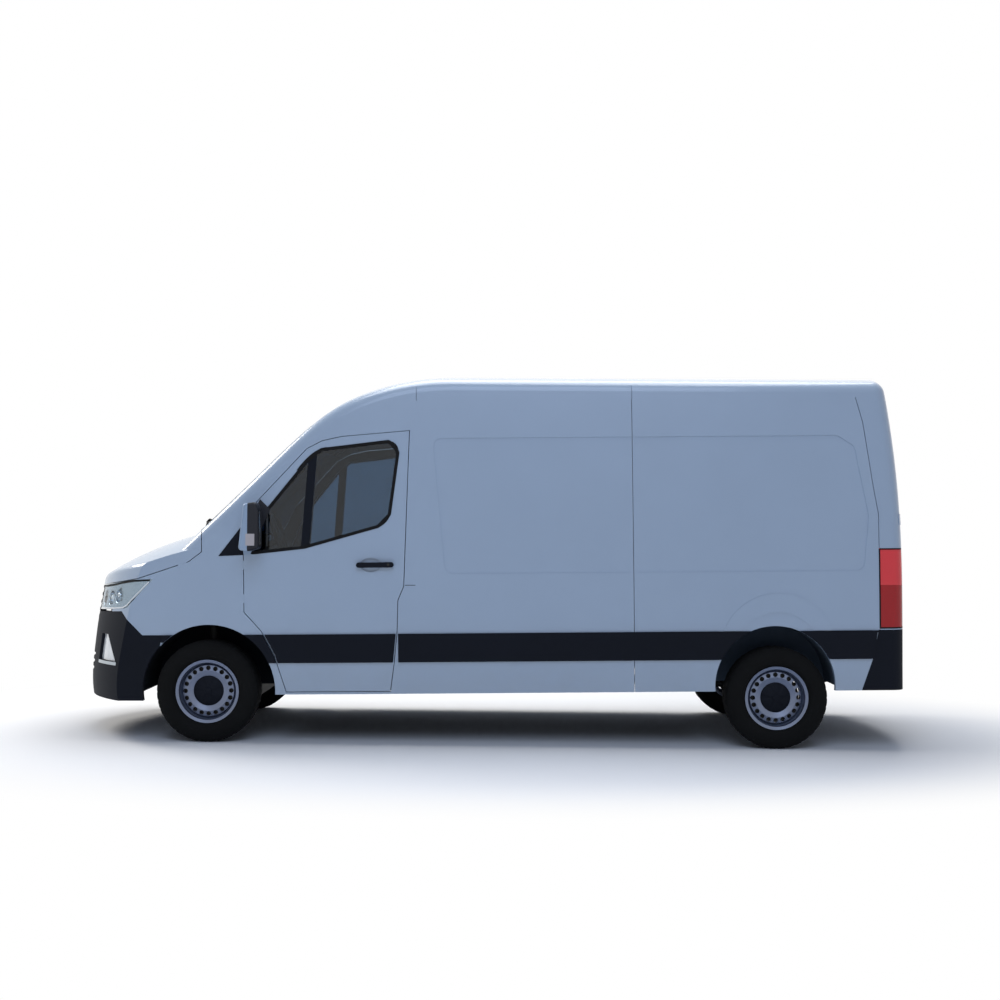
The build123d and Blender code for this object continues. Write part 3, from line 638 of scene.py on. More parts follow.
def centre_cap(name, middle, mirrored, body):
    """Dark domed cap over the wheel bolts, with scooped flutes."""
    build = bmesh.new()
    turned(build, CAP_PROFILE, 72, middle)
    for vert in build.verts:
        rel = vert.co - Vector(middle)
        if 0.04 < math.hypot(rel.x, rel.z) < 0.1:
            vert.co.y -= SCOOP_DEPTH * max(0, math.cos(CAP_SCOOPS * math.atan2(rel.z, rel.x)))
    finish_piece(name, build, PLASTIC, body, mirrored=mirrored)


def valve(name, middle, mirrored, body):
    """Tyre valve at the rim's edge."""
    build = bmesh.new()
    foot = Vector(middle) + Vector((0.173, 0.046, 0))
    tube(build, [foot, foot + Vector((-0.004, 0.014, 0)), foot + Vector((-0.008, 0.026, 0))], 0.004)
    finish_piece(name, build, SEAL, body, mirrored=mirrored)


def brake(name, profile, middle, mirrored, body):
    """Brake disc or drum behind the wheel's holes."""
    build = bmesh.new()
    turned(build, profile, 64, middle)
    finish_piece(name, build, BARE, body, mirrored=mirrored)


# %% Four wheels
for axle, hub_x, track, hub_z, shape in (
    ("front", 0, FRONT_TRACK, TYRE_RADIUS, DISC),
    ("rear", -WHEELBASE, REAR_TRACK, TYRE_RADIUS - NOSE_DOWN, DRUM),
):
    for side, sign in SIDES:
        hub = (hub_x, track, hub_z)
        rolling = f"wheel_{axle}_{side}"
        made = tyre(f"tyre_with_tread_{axle}_{side}", hub, sign < 0, rolling)
        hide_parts(f"tyre_{axle}_{side}")
        centre_cap(f"wheel_cap_{axle}_{side}", hub, sign < 0, rolling)
        valve(f"valve_{axle}_{side}", hub, sign < 0, rolling)
        brake(f"brake_{axle}_{side}", shape, hub, sign < 0, rolling)
        print(made.name, len(made.data.polygons), "faces")

# %% [markdown]
# ## Door windows
# A black rubber seal frames each door window. It is a strip along the window's outline.
# The opening in the CAD door is cut straight across its corners, so three short bows fill
# them round.

# %% Window seals
WINDOW = [
    (-1.270, 2.064),
    (-1.330, 1.990),
    (-1.270, 1.560),
    (-1.192, 1.479),
    (-0.685, 1.340),
    (-0.300, 1.300),
    (-0.431, 1.600),
    (-0.703, 1.930),
    (-0.800, 2.010),
]
side_line("window_seal", rounded(WINDOW, 0.024), 0.022, 0.003, SEAL, "cab_door_{side}", closed=True)
for name, *corners in (
    ("seal_corner_top", (-1.225, 2.0588), (-1.3415, 2.0722), (-1.3242, 1.950)),
    ("seal_corner_low", (-1.2749, 1.595), (-1.2616, 1.4981), (-1.165, 1.4716)),
    ("seal_corner_front", (-0.640, 1.866), (-0.748, 2.010), (-0.840, 2.018)),
):
    side_line(name, bow(*map(Vector, corners), 8), 0.020, 0.0028, SEAL, "cab_door_{side}")

# %% [markdown]
# ## Cab trim
# Inside, bare steel is covered: door cards, felt under the roof, light plastic on the
# pillars. Each cover is a skin over the faces of the steel that look inward, found by
# where a face is and which way it looks.

# %% Trim sheets
WAIST_Z = 1.25
TRIMS = [
    ("headliner", "roof", lambda spot, normal: normal.z < -0.5 and spot.x > -1.46, 0.003, HEADLINER),
    (
        "pillar_trim",
        "cab_frame",
        lambda spot, normal: spot.z > WAIST_Z and normal.y * spot.y < -0.05 * abs(spot.y) and abs(normal.x) < 0.95,
        0.002,
        PILLAR,
    ),
    (
        "lower_trim",
        "cab_frame",
        lambda spot, normal: spot.z <= WAIST_Z and normal.y * spot.y < -0.5 * abs(spot.y),
        0.002,
        CABIN,
    ),
    ("bulkhead_trim", "bulkhead", lambda spot, normal: normal.x > 0.9, 0.002, HEADLINER),
]
for side, sign in SIDES:
    door = f"cab_door_{side}"

    def faces_inward(spot, normal, sign=sign):
        return normal.y * sign < -0.6 and spot.z < 2.2

    skin(f"door_card_{side}", door, faces_inward, 0.002, CABIN, door)
for name, node, keep, lift, mat in TRIMS:
    skin(name, node, keep, lift, mat, "chassis")

# %% [markdown]
# ## Surfaces to lay pieces on
# Trim on a curved body has to follow it. A search tree of a CAD node lets rays find its
# surface under each point, together with the direction that it faces.

# %% Rays onto a node
BACKWARD = (-1, 0, 0)
FORWARD = (1, 0, 0)
DOWN = (0, 0, -1)
SIDEWAYS = (0, -1, 0)
FAR_NOSE = 1.5
OUTSIDE_Y = 1.3
CLEAR_OF = 0.0002


def levelled(name):
    """Search tree of a CAD node on the level body."""
    build = bmesh.new()
    build.from_mesh(nodes[name].data)
    bmesh.ops.transform(build, matrix=LEVEL.inverted(), verts=build.verts)
    tree = BVHTree.FromBMesh(build)
    build.free()
    return tree


def met(tree, start, ray):
    """Point where a ray meets a surface, or None."""
    return tree.ray_cast(Vector(start), Vector(ray))[0]


def laid(tree, starts, ray, lift=CLEAR_OF, closed=False):
    """Points where rays meet a surface, each with its outward and crosswise direction."""
    found = [tree.ray_cast(Vector(start), Vector(ray))[:2] for start in starts]
    hits = [(spot + normal * lift, normal) for spot, normal in found if spot]
    result = []
    for i, (point, outward) in enumerate(hits):
        before = hits[i - 1][0] if closed or i else hits[0][0]
        after = hits[(i + 1) % len(hits)][0] if closed or i < len(hits) - 1 else hits[-1][0]
        result.append((point, outward, (after - before).cross(outward).normalized()))
    return result


screen = levelled("windscreen")
cowl = levelled("cowl")
print("the windscreen's middle is at X", round(met(screen, (FAR_NOSE, 0, 1.85), BACKWARD).x, 3))

# %% [markdown]
# ## Windscreen: printed border
# The glass is glued in under a black ceramic print, which keeps the sun off the glue. It
# is a very thin strip laid along the glass's outline by rays from the front.

# %% Printed border
SCREEN = [(-0.810, 1.512), (0.810, 1.512), (0.704, 2.186), (-0.704, 2.186)]
PRINT_WIDTH = 0.062
build = bmesh.new()
outline = denser(rounded(SCREEN, 0.05), 0.05)
border = laid(screen, [(FAR_NOSE, p.x, p.y) for p in outline], BACKWARD, 0.0003, True)
strip(build, border, PRINT_WIDTH, 0.0012, True)
finish_piece("screen_print", build, SEAL, "chassis")
print("the print follows", len(border), "points of the glass")

# %% [markdown]
# ## Wipers and cowl grating
# Two wipers park along the foot of the glass. A rubber blade and its spine are strips on
# the glass, and a bent arm leads from a pivot in the cowl to the blade's middle. Slats
# across the cowl hide the air intake.

# %% Wipers
WIPERS = ((0.600, 0.690, 0.060), (0.030, 0.005, -0.600))
WIPER_Z = 1.522
BLADE_STEPS = 18
for number, (pivot_y, start_y, end_y) in enumerate(WIPERS):
    across = [start_y + (end_y - start_y) * k / BLADE_STEPS for k in range(BLADE_STEPS + 1)]
    blade = laid(screen, [(FAR_NOSE, y, WIPER_Z) for y in across], BACKWARD, 0.002)
    build = bmesh.new()
    strip(build, blade, 0.007, 0.012)
    spine = [(point + outward * 0.012, outward, side) for point, outward, side in blade[1:-1]]
    strip(build, spine, 0.016, 0.007)
    pivot = met(cowl, (blade[0][0].x + 0.030, pivot_y, 2), DOWN)
    middle = blade[BLADE_STEPS // 2][0] + blade[BLADE_STEPS // 2][1] * 0.022
    knee = pivot.lerp(middle, 0.35) + Vector((0.012, 0, 0.02))
    tube(build, [pivot, pivot + Vector((0, 0, 0.03))], 0.017, 16)
    tube(build, [pivot + Vector((0, 0, 0.02)), knee, middle], 0.008)
    finish_piece(f"wiper_{number + 1}", build, SEAL, "chassis")
    print("wiper blade of", round(1000 * abs(end_y - start_y)), "mm")

# %% Cowl grating
build = bmesh.new()
for side in (1, -1):
    for k in range(15):
        y = side * (0.16 + 0.034 * k)
        points = laid(cowl, [(0.02 + 0.012 * j, y, 2) for j in range(7)], DOWN)
        if len(points) > 3:
            strip(build, points, 0.016, 0.0025)
print(len(build.faces), "faces in the grating")
finish_piece("cowl_grating", build, SEAL, "chassis")

# %% [markdown]
# ## Mirrors
# The glass is a slim plate with soft edges that stands in the pocket of the mirror's case
# and swings with its door.

# %% Mirror glass
for side, sign in SIDES:
    build = bmesh.new()
    rounded_box(build, (-0.4012, 1.049, 1.356), (-0.3960, 1.146, 1.594), 0.0024, 2)
    made = finish_piece(f"mirror_glass_{side}", build, MIRROR, f"cab_door_{side}", mirrored=sign < 0)
    print(made.name, len(made.data.polygons), "faces")

# %% [markdown]
# ## Headlamps
# Behind its clear cover a headlamp has round reflectors pressed into a bright housing. The
# packed housing is solid there, so three spheres are cut out of a copy by Boolean
# modifiers, and the copy takes its place. A ball in each bowl stands for the lens or bulb.

# %% Housing with bowls
BOWLS = (((0.782, 0.570, 0.985), 0.052), ((0.712, 0.700, 0.990), 0.050), ((0.640, 0.800, 1.010), 0.046))


# %% Cut the bowls
def hollowed(name, node, places, mirrored, mat, body):
    """Copy of a CAD node with round bowls cut out of it."""
    body_mesh = bpy.data.meshes.new(name)
    whole = copied(node)
    whole.to_mesh(body_mesh)
    whole.free()
    uncut = bpy.data.objects.new("uncut", body_mesh)
    cutters = []
    for centre, radius in places:
        spot = Vector(centre)
        if mirrored:
            spot.y = -spot.y
        build = bmesh.new()
        place = LEVEL @ Matrix.Translation(spot)
        bmesh.ops.create_uvsphere(build, u_segments=40, v_segments=24, radius=radius, matrix=place)
        mesh = bpy.data.meshes.new("bowl")
        build.to_mesh(mesh)
        build.free()
        cutters.append(bpy.data.objects.new("bowl", mesh))
        cut = uncut.modifiers.new("bowl", "BOOLEAN")
        cut.operation = "DIFFERENCE"
        cut.solver = "EXACT"
        cut.object = cutters[-1]
    for each in (uncut, *cutters):
        bpy.context.collection.objects.link(each)
    shaped = bpy.data.meshes.new_from_object(uncut.evaluated_get(bpy.context.evaluated_depsgraph_get()))
    for each in (uncut, *cutters):
        bpy.data.objects.remove(each)
    build = bmesh.new()
    build.from_mesh(shaped)
    return as_piece(name, build, mat, body)


# %% Lamps on both sides
BALLS = ((0.62, GLOSS), (0.45, CLEAR_BRIGHT), (0.5, CHROME))
BALL_SHIFT = Vector((-0.014, -0.006, 0))
for side, sign in SIDES:
    node = f"headlamp_{side}"
    housing = hollowed(f"headlamp_housing_{side}", node, BOWLS, sign < 0, CHROME, "chassis")
    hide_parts(node)
    for number, ((centre, radius), (share, mat)) in enumerate(zip(BOWLS, BALLS)):
        build = bmesh.new()
        place = Matrix.Translation(Vector(centre) + BALL_SHIFT)
        bmesh.ops.create_uvsphere(build, u_segments=32, v_segments=16, radius=share * radius, matrix=place)
        finish_piece(f"lamp_lens_{number + 1}_{side}", build, mat, "chassis", mirrored=sign < 0)
    print(housing.name, len(housing.data.polygons), "faces")

# %% [markdown]
# ## Fog lamps
# They sit in pockets at the bumper's corners. Their lens is a skin over the pocket's
# floor, whose faces lie behind a slanting line and look forward and outward.

# %% Fog lamp lenses
def in_fog_pocket(spot, normal):
    """Whether a face of the bumper is the floor of a fog lamp pocket."""
    front = 0.728 - (0.738 - spot.z) * 0.4835
    inside = 0.557 < spot.z < 0.737 and abs(spot.y) > 0.651 and spot.x > front + 0.001
    return inside and normal.x > 0.1 and abs(normal.y) > 0.12


for side, sign in SIDES:

    def on_this_side(spot, normal, sign=sign):
        return spot.y * sign > 0 and in_fog_pocket(spot, normal)

    skin(f"fog_lens_{side}", "front_bumper", on_this_side, 0.006, CLEAR_BRIGHT, "chassis")

# %% [markdown]
# ## Lamp trim
# A dark bezel, a light guide and the fog lamp's bright strip run round the van's front
# corner. Each line is laid on from the side first, and from the front once the surface has
# turned away.

# %% Lines round a corner
def lamp_top(x):
    """Height of the headlamp's top edge."""
    return min(1.128 - 0.0335 * (x - 0.363), 1.129 - 0.157 * (x - 0.468))


def trim_line(name, tree, side_points, front_points, width, thick, mat):
    """Strip round a front corner, on both sides of the van."""
    for side, sign in SIDES:
        from_side = laid(tree, [(x, OUTSIDE_Y, z) for x, z in side_points], SIDEWAYS)
        from_front = laid(tree, [(FAR_NOSE, y, z) for y, z in front_points], BACKWARD)
        build = bmesh.new()
        strip(build, from_side[:-1] + from_front, width, thick)
        finish_piece(f"{name}_{side}", build, mat, "chassis", mirrored=sign < 0)
    print(name, len(from_side), "points from the side,", len(from_front), "from the front")


# %% Bezel, light guide and strips
lens = levelled("headlamp_lens_left")
bumper = levelled("front_bumper")
bezel = [(0.385 + 0.02 * k, lamp_top(0.385 + 0.02 * k) - 0.007) for k in range(13)]
bezel_front = []
for k in range(9):
    y = 0.74 - 0.03 * k
    bezel_front.append((y, lamp_top(met(lens, (FAR_NOSE, y, 1.04), BACKWARD).x) - 0.009))
trim_line("lamp_bezel", lens, bezel, bezel_front, 0.012, 0.0012, SEAL)
guide = [(0.392 + 0.0176 * k, 1.108 - 0.0176 * k) for k in range(10)] + [(0.59, 0.930), (0.62, 0.925)]
guide_front = [(0.79 - 0.03 * k, 0.921 - 0.0015 * k) for k in range(11)]
trim_line("light_guide", lens, guide, guide_front, 0.010, 0.0012, CLEAR_BRIGHT)
FOG_STRIP_Z = 0.542
fog_side = [(0.633 + 0.012 * k, FOG_STRIP_Z) for k in range(5)]
fog_front = [(0.80 - 0.015 * k, FOG_STRIP_Z) for k in range(11)]
trim_line("fog_strip", bumper, fog_side, fog_front, 0.022, 0.002, CHROME)
side_line("quarter_strip", [Vector((-0.2505, 1.288)), Vector((-0.2505, 1.44))], 0.024, 0.001, PLASTIC, "chassis")

# %% [markdown]
# ## Rear: hinges, handle, brake lamp and step
# Painted hinge plates sit on the rear corners, a flat handle on the left door, a brake lamp
# above the doors, and ribs on the bumper give a foot its grip. All are strips laid on the
# packed panels by rays, so none of them floats or sinks in.

# %% Hinge plates and handle
REAR_X = -4.928
BEHIND = -6.0
leaf = levelled("rear_door_left")
corner = levelled("rear_corner_left")
for side, sign in SIDES:
    for number, hinge_z in enumerate((0.86, 1.50)):
        points = laid(corner, [(REAR_X + 0.085 + 0.012 * k, OUTSIDE_Y, hinge_z) for k in range(7)], SIDEWAYS)
        build = bmesh.new()
        strip(build, points, 0.075, 0.004)
        finish_piece(f"hinge_plate_{number + 1}_{side}", build, PAINT, "chassis", mirrored=sign < 0)
build = bmesh.new()
points = laid(leaf, [(BEHIND, 0.055 + 0.012 * k, 1.205) for k in range(12)], FORWARD)
strip(build, points, 0.060, 0.0025)
grip = [(point + outward * 0.0025, outward, side) for point, outward, side in points[2:-2]]
strip(build, grip, 0.028, 0.0015)
finish_piece("rear_handle", build, PLASTIC, "rear_door_left")
print("the handle stands on", len(points), "points of the door")

# %% Brake lamp and step ribs
build = bmesh.new()
points = laid(levelled("roof"), [(BEHIND, -0.18 + 0.02 * k, 2.405) for k in range(19)], FORWARD)
strip(build, points, 0.030, 0.003)
finish_piece("high_brake_lamp", build, RED_LENS, "chassis")
build = bmesh.new()
step = levelled("rear_bumper")
for k in range(4):
    line = [(REAR_X + 0.030 + 0.012 * k, -0.62 + 0.04 * j, 1.2) for j in range(32)]
    strip(build, laid(step, line, DOWN), 0.005, 0.002)
finish_piece("step_ribs", build, SEAL, "chassis")
print("the brake lamp stands on", len(points), "points of the roof")

# %% [markdown]
# ## Tail lamp gaskets
# A thin black gasket shows along the lamp's front, top and bottom edges, where it is
# pressed against the painted corner.

# %% Gaskets
GASKET_X = -4.6275
GASKET_LOW_Z = 0.757
GASKET_TOP_Z = 1.2975
lamp = levelled("tail_lamp_left")
for side, sign in SIDES:
    build = bmesh.new()
    for line in (
        [(GASKET_X, GASKET_LOW_Z + 0.02 * k) for k in range(28)],
        [(GASKET_X - 0.02 * k, GASKET_TOP_Z) for k in range(13)],
        [(GASKET_X - 0.02 * k, GASKET_LOW_Z) for k in range(13)],
    ):
        strip(build, laid(lamp, [(x, OUTSIDE_Y, z) for x, z in line], SIDEWAYS), 0.010, 0.0012)
    finish_piece(f"tail_lamp_gasket_{side}", build, SEAL, "chassis", mirrored=sign < 0)
print("gaskets", round(1000 * (GASKET_TOP_Z - GASKET_LOW_Z)), "mm high")

# %% [markdown]
# ## Under the hood
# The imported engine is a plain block. A ribbed plastic cover hides its top, as on most
# engines, belt pulleys turn at its front, and two rubber hoses lead to the radiator.
# Behind the bumper's lower slots a ribbed panel leads the air inward.

# %% Engine cover
ENGINE_TOP_Z = 1.000
ENGINE_FRONT_X = 0.560
RADIATOR_X = 0.760
build = bmesh.new()
rounded_box(build, (0.09, -0.21, ENGINE_TOP_Z), (0.50, 0.21, 1.045), 0.018)
for k in range(7):
    rib_y = -0.168 + 0.054 * k
    rounded_box(build, (0.13, rib_y, 1.040), (0.46, rib_y + 0.014, 1.054), 0.004, 2)
print(len(build.faces), "faces in the cover")
finish_piece("engine_cover", build, PLASTIC, "chassis")

# %% Belt pulleys
PULLEYS = ((0, 0.50, 0.085), (0.19, 0.68, 0.060), (-0.19, 0.72, 0.055), (0, 0.84, 0.050))
build = bmesh.new()
for pulley_y, pulley_z, wide in PULLEYS:
    belt = wide - 0.006
    profile = ((0, 0), (wide, 0), (wide, 0.008), (belt, 0.012), (belt, 0.028), (wide, 0.032), (wide, 0.038))
    profile += ((0.4 * wide, 0.030), (0, 0.040))
    turned(build, profile, 36, Vector((ENGINE_FRONT_X, pulley_y, pulley_z)), (1, 0, 0), (0, 0, 1))
finish_piece("belt_pulleys", build, BARE, "chassis")
print(len(PULLEYS), "pulleys")

# %% Coolant hoses and intake duct
HOSES = (
    ((0.50, 0.25, 0.94), (RADIATOR_X, 0.38, 0.96), 0.10),
    ((0.50, -0.30, 0.60), (RADIATOR_X, -0.38, 0.56), -0.06),
)
build = bmesh.new()
for start, end, rise in HOSES:
    start, end, rise = Vector(start), Vector(end), Vector((0, 0, rise))
    second, third = start.lerp(end, 0.35) + rise, start.lerp(end, 0.7) + rise
    parts = [k / 16 for k in range(17)]
    line = [
        (1 - t) ** 3 * start + 3 * t * (1 - t) ** 2 * second + 3 * t**2 * (1 - t) * third + t**3 * end
        for t in parts
    ]
    tube(build, line, 0.021, 16)
finish_piece("coolant_hoses", build, RUBBER, "chassis")
build = bmesh.new()
rounded_box(build, (0.806, -0.50, 0.370), (0.814, 0.50, 0.625), 0.003)
for k in range(21):
    rib_y = -0.482 + 0.048 * k
    rounded_box(build, (0.812, rib_y, 0.374), (0.828, rib_y + 0.004, 0.621), 0.0012, 1)
print(len(build.faces), "faces in the duct")
finish_piece("intake_duct", build, LINER, "chassis")

# %% [markdown]
# ## Cooling unit: wire guards and fans
# The evaporator blows chilled air through three round openings. A guard is a set of wire
# rings, each spun from one small circle, on two crossed bars. A fan's blade is a small
# grid, scaled, twisted on its own axis, turned round the hub and given a thickness.

# %% Wire guards
FAN_X = -1.960
FAN_Z = 2.235
FAN_PLACES = (-0.35, 0, 0.35)
GUARD_RADIUS = 0.086
guards = bmesh.new()
for fan_y in FAN_PLACES:
    middle = Vector((FAN_X - 0.003, fan_y, FAN_Z))
    for radius in (0.018, 0.036, 0.054, 0.072, GUARD_RADIUS):
        place = Matrix.Translation(middle + Vector((0, 0, radius))) @ Matrix.Rotation(math.pi / 2, 4, "X")
        ring = bmesh.ops.create_circle(guards, segments=6, radius=0.0018, matrix=place)["verts"]
        spun(guards, ring, middle, (1, 0, 0), 40)
    for turn_by in (45, 135):
        reach = Matrix.Rotation(math.radians(turn_by), 3, "X") @ Vector((0, 0, GUARD_RADIUS))
        tube(guards, [middle - reach, middle + reach], 0.0020, 6)
print(len(guards.faces), "faces in the guards")
finish_piece("evaporator_fan_guards", guards, STEEL, "chassis")

# %% Fan blades
BLADES = 7
blades = bmesh.new()
for fan_y in FAN_PLACES:
    axle = Matrix.Translation((FAN_X + 0.012, fan_y, FAN_Z))
    hub = axle @ Matrix.Rotation(math.pi / 2, 4, "Y")
    bmesh.ops.create_cone(blades, cap_ends=True, segments=24, radius1=0.020, radius2=0.017, depth=0.016, matrix=hub)
    for k in range(BLADES):
        place = (
            axle
            @ Matrix.Rotation(2 * math.pi * k / BLADES, 4, "X")
            @ Matrix.Translation((0, 0, 0.046))
            @ Matrix.Rotation(math.radians(62), 4, "Z")
            @ Matrix.Rotation(math.pi / 2, 4, "Y")
        )
        blade = bmesh.ops.create_grid(blades, x_segments=6, y_segments=3, size=0.5)["verts"]
        bmesh.ops.scale(blades, vec=(0.058, 0.018, 1), verts=blade)
        bmesh.ops.transform(blades, matrix=place, verts=blade)
        faces = list(dict.fromkeys(face for vert in blade for face in vert.link_faces))
        bmesh.ops.solidify(blades, geom=faces, thickness=0.0012)
finish_piece("evaporator_fans", blades, PLASTIC, "chassis")
print(len(FAN_PLACES), "fans with", BLADES, "blades each")

# %% [markdown]
# ## Rubbing band up to the arches
# The black band on the flank runs to the edge of each arch and to the bumpers. A grid is
# warped onto the panel, row by row, between the arch's circle and the end of the packed
# band, and then extruded to the height that a ray measures on that band.

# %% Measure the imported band
ARCH_REAR = (-3.907, 0.364, 0.412)
ARCH_FRONT = (-0.018, 0.352, 0.460)
BAND_LOW_Z = 0.547
BAND_HIGH_Z = 0.742
INSET = 0.001
band_y, panel_y = (
    met(levelled(node), (-3.0, OUTSIDE_Y, 0.65), SIDEWAYS).y for node in ("side_trim_left", "side_panel_left_rear")
)
BAND_PROUD = band_y - panel_y
print(f"band stands {BAND_PROUD * 1000:.1f} mm proud of the panel")


# %% Patches
def arch_edge(arch, z, ahead):
    """Where an arch's edge stands at a height, ahead of its middle (1) or behind it (-1)."""
    middle_x, middle_z, radius = arch
    return middle_x + ahead * math.sqrt(max(0, radius**2 - (z - middle_z) ** 2))


# %% A patch between two ends
def patch(name, node, low_z, high_z, ends):
    """Thin cover on the body's side between two ends that depend on the height."""
    tree = levelled(node)
    for side, sign in SIDES:
        build = bmesh.new()
        bmesh.ops.create_grid(build, x_segments=6, y_segments=16, size=0.5)
        lost = []
        for vert in build.verts:
            z = low_z + (vert.co.y + 0.5) * (high_z - low_z)
            start, end = ends(z)
            x = start + (vert.co.x + 0.5) * (end - start)
            for attempt in range(16):
                spot = met(tree, (x, OUTSIDE_Y, z), SIDEWAYS)
                if spot and spot.y > 0.85:
                    vert.co = spot
                    break
                x += math.copysign(0.0005, (start + end) / 2 - x)
            else:
                lost.append(vert)
        bmesh.ops.delete(build, geom=lost, context="VERTS")
        raised = bmesh.ops.extrude_face_region(build, geom=build.faces[:])["geom"]
        raised = [vert for vert in raised if isinstance(vert, bmesh.types.BMVert)]
        bmesh.ops.translate(build, vec=(0, BAND_PROUD, 0), verts=raised)
        finish_piece(f"{name}_{side}", build, PLASTIC, "chassis", mirrored=sign < 0)
    print(name, "without", len(lost), "of its points")


PANEL = "side_panel_left_rear"
for name, node, low_z, ends in (
    ("band_before_rear_arch", PANEL, BAND_LOW_Z, lambda z: (arch_edge(ARCH_REAR, z, 1) - 0.003, -3.508)),
    ("band_behind_rear_arch", PANEL, BAND_LOW_Z, lambda z: (-4.298, arch_edge(ARCH_REAR, z, -1) + 0.003)),
    ("band_before_bumper", PANEL, BAND_LOW_Z, lambda z: (-4.600 - 0.189 * (z - 0.547), -4.549)),
    ("bumper_tip", "front_wing_left", 0.689, lambda z: (arch_edge(ARCH_FRONT, z, 1) - 0.003, 0.335)),
):
    patch(name, node, low_z + INSET, BAND_HIGH_Z - INSET, ends)

# %% [markdown]
# ## Door locks and filler flap
# A small steel lock cylinder sits beside each handle, and a short seam marks the flap that
# covers the filler.

# %% Locks and seam
handle = levelled("door_trim_left")
for side, sign in SIDES:
    face = met(handle, (-1.262, OUTSIDE_Y, 1.2165), SIDEWAYS)
    build = bmesh.new()
    bmesh.ops.create_cone(build, cap_ends=True, segments=28, radius1=0.009, radius2=0.008, depth=0.004)
    bmesh.ops.rotate(build, cent=(0, 0, 0), matrix=Matrix.Rotation(-math.pi / 2, 3, "X"), verts=build.verts)
    bmesh.ops.translate(build, vec=face + Vector((0, 0.001, 0)), verts=build.verts)
    finish_piece(f"door_lock_{side}", build, BARE, f"cab_door_{side}", mirrored=sign < 0)
side_line("flap_seam", [Vector((-1.374, 1.074)), Vector((-1.446, 1.074))], 0.004, 0.0006, SEAL, "chassis")

# %% [markdown]
# ## Seats
# A seat pad is foam in a sewn cover: crowned in the middle, drawn in along its seams. Each
# pad starts a little small as a block with soft edges, is remeshed evenly, and is blown up
# as cloth with pressure inside. A cap on how far a point may move keeps it off its
# neighbours, and two channels are pressed in where the cover is sewn down.

# %% Pads
CUSHION = [(-1.215, 0.872), (-0.715, 0.872), (-0.672, 0.905), (-0.684, 0.962), (-0.735, 0.975), (-1.150, 0.946)]
CUSHION += [(-1.215, 0.946)]
BACK = [(-1.195, 0.985), (-1.262, 1.545), (-1.300, 1.578), (-1.342, 1.568), (-1.318, 1.400), (-1.278, 0.985)]
HEAD = [(-1.292, 1.642), (-1.282, 1.765), (-1.307, 1.783), (-1.344, 1.775), (-1.352, 1.655)]
HEAD_HALF = 0.118
START_INSET = 0.008
VOXEL = 0.011
PRESSURE = 4
FRAMES = 20
SWELL = 0.013
CHANNEL_HALF = 0.018
CHANNEL_DEPTH = 0.006


def applied(piece):
    """Mesh of a piece with its modifiers applied, which are then removed from it."""
    mesh = bpy.data.meshes.new_from_object(piece.evaluated_get(bpy.context.evaluated_depsgraph_get()))
    piece.modifiers.clear()
    return mesh


def block(outline, low_y, high_y):
    """Soft-edged block of an outline in x and z."""
    build = bmesh.new()
    face = build.faces.new([build.verts.new((x, low_y + START_INSET, z)) for x, z in outline])
    made = bmesh.ops.extrude_face_region(build, geom=[face])["geom"]
    far = [part for part in made if isinstance(part, bmesh.types.BMVert)]
    bmesh.ops.translate(build, vec=(0, high_y - low_y - 2 * START_INSET, 0), verts=far)
    bmesh.ops.bevel(
        build,
        geom=list(build.edges),
        offset=0.02,
        segments=3,
        profile=0.5,
        material=-1,
        affect="EDGES",
        clamp_overlap=True,
    )
    return build


# %% A pad blown up as cloth
def inflate(piece):
    """Blows a piece up as cloth with pressure inside, and caps how far each point moves."""
    rest = [vert.co.copy() for vert in piece.data.vertices]
    soft = piece.modifiers.new("cloth", "CLOTH")
    soft.settings.use_pressure = True
    soft.settings.uniform_pressure_force = PRESSURE
    soft.settings.effector_weights.gravity = 0
    for number in range(1, FRAMES + 1):
        bpy.context.scene.frame_set(number)
    piece.data = applied(piece)
    bpy.context.scene.frame_set(1)
    for vert, start in zip(piece.data.vertices, rest):
        move = vert.co - start
        if move.length > SWELL:
            vert.co = start + move.normalized() * SWELL


def pad(name, outline, low_y, high_y, seams=()):
    """Stuffed pad of an outline in x and z, with sewn channels along the van at given y."""
    build = block(outline, low_y, high_y)
    piece = finish_piece(name, build, FABRIC, "chassis", smooth=False)
    even = piece.modifiers.new("even", "REMESH")
    even.mode = "VOXEL"
    even.voxel_size = VOXEL
    piece.data = applied(piece)
    inflate(piece)
    normals = [vert.normal.copy() for vert in piece.data.vertices]
    for vert, normal in zip(piece.data.vertices, normals):
        near = min((abs(vert.co.y - seam) for seam in seams), default=1)
        if near < CHANNEL_HALF:
            vert.co -= normal * CHANNEL_DEPTH * (1 - (near / CHANNEL_HALF) ** 2)
    piece.data.shade_smooth()
    finer = piece.modifiers.new("finer", "SUBSURF")
    finer.levels = finer.render_levels = 1
    print(name, len(piece.data.polygons), "faces")


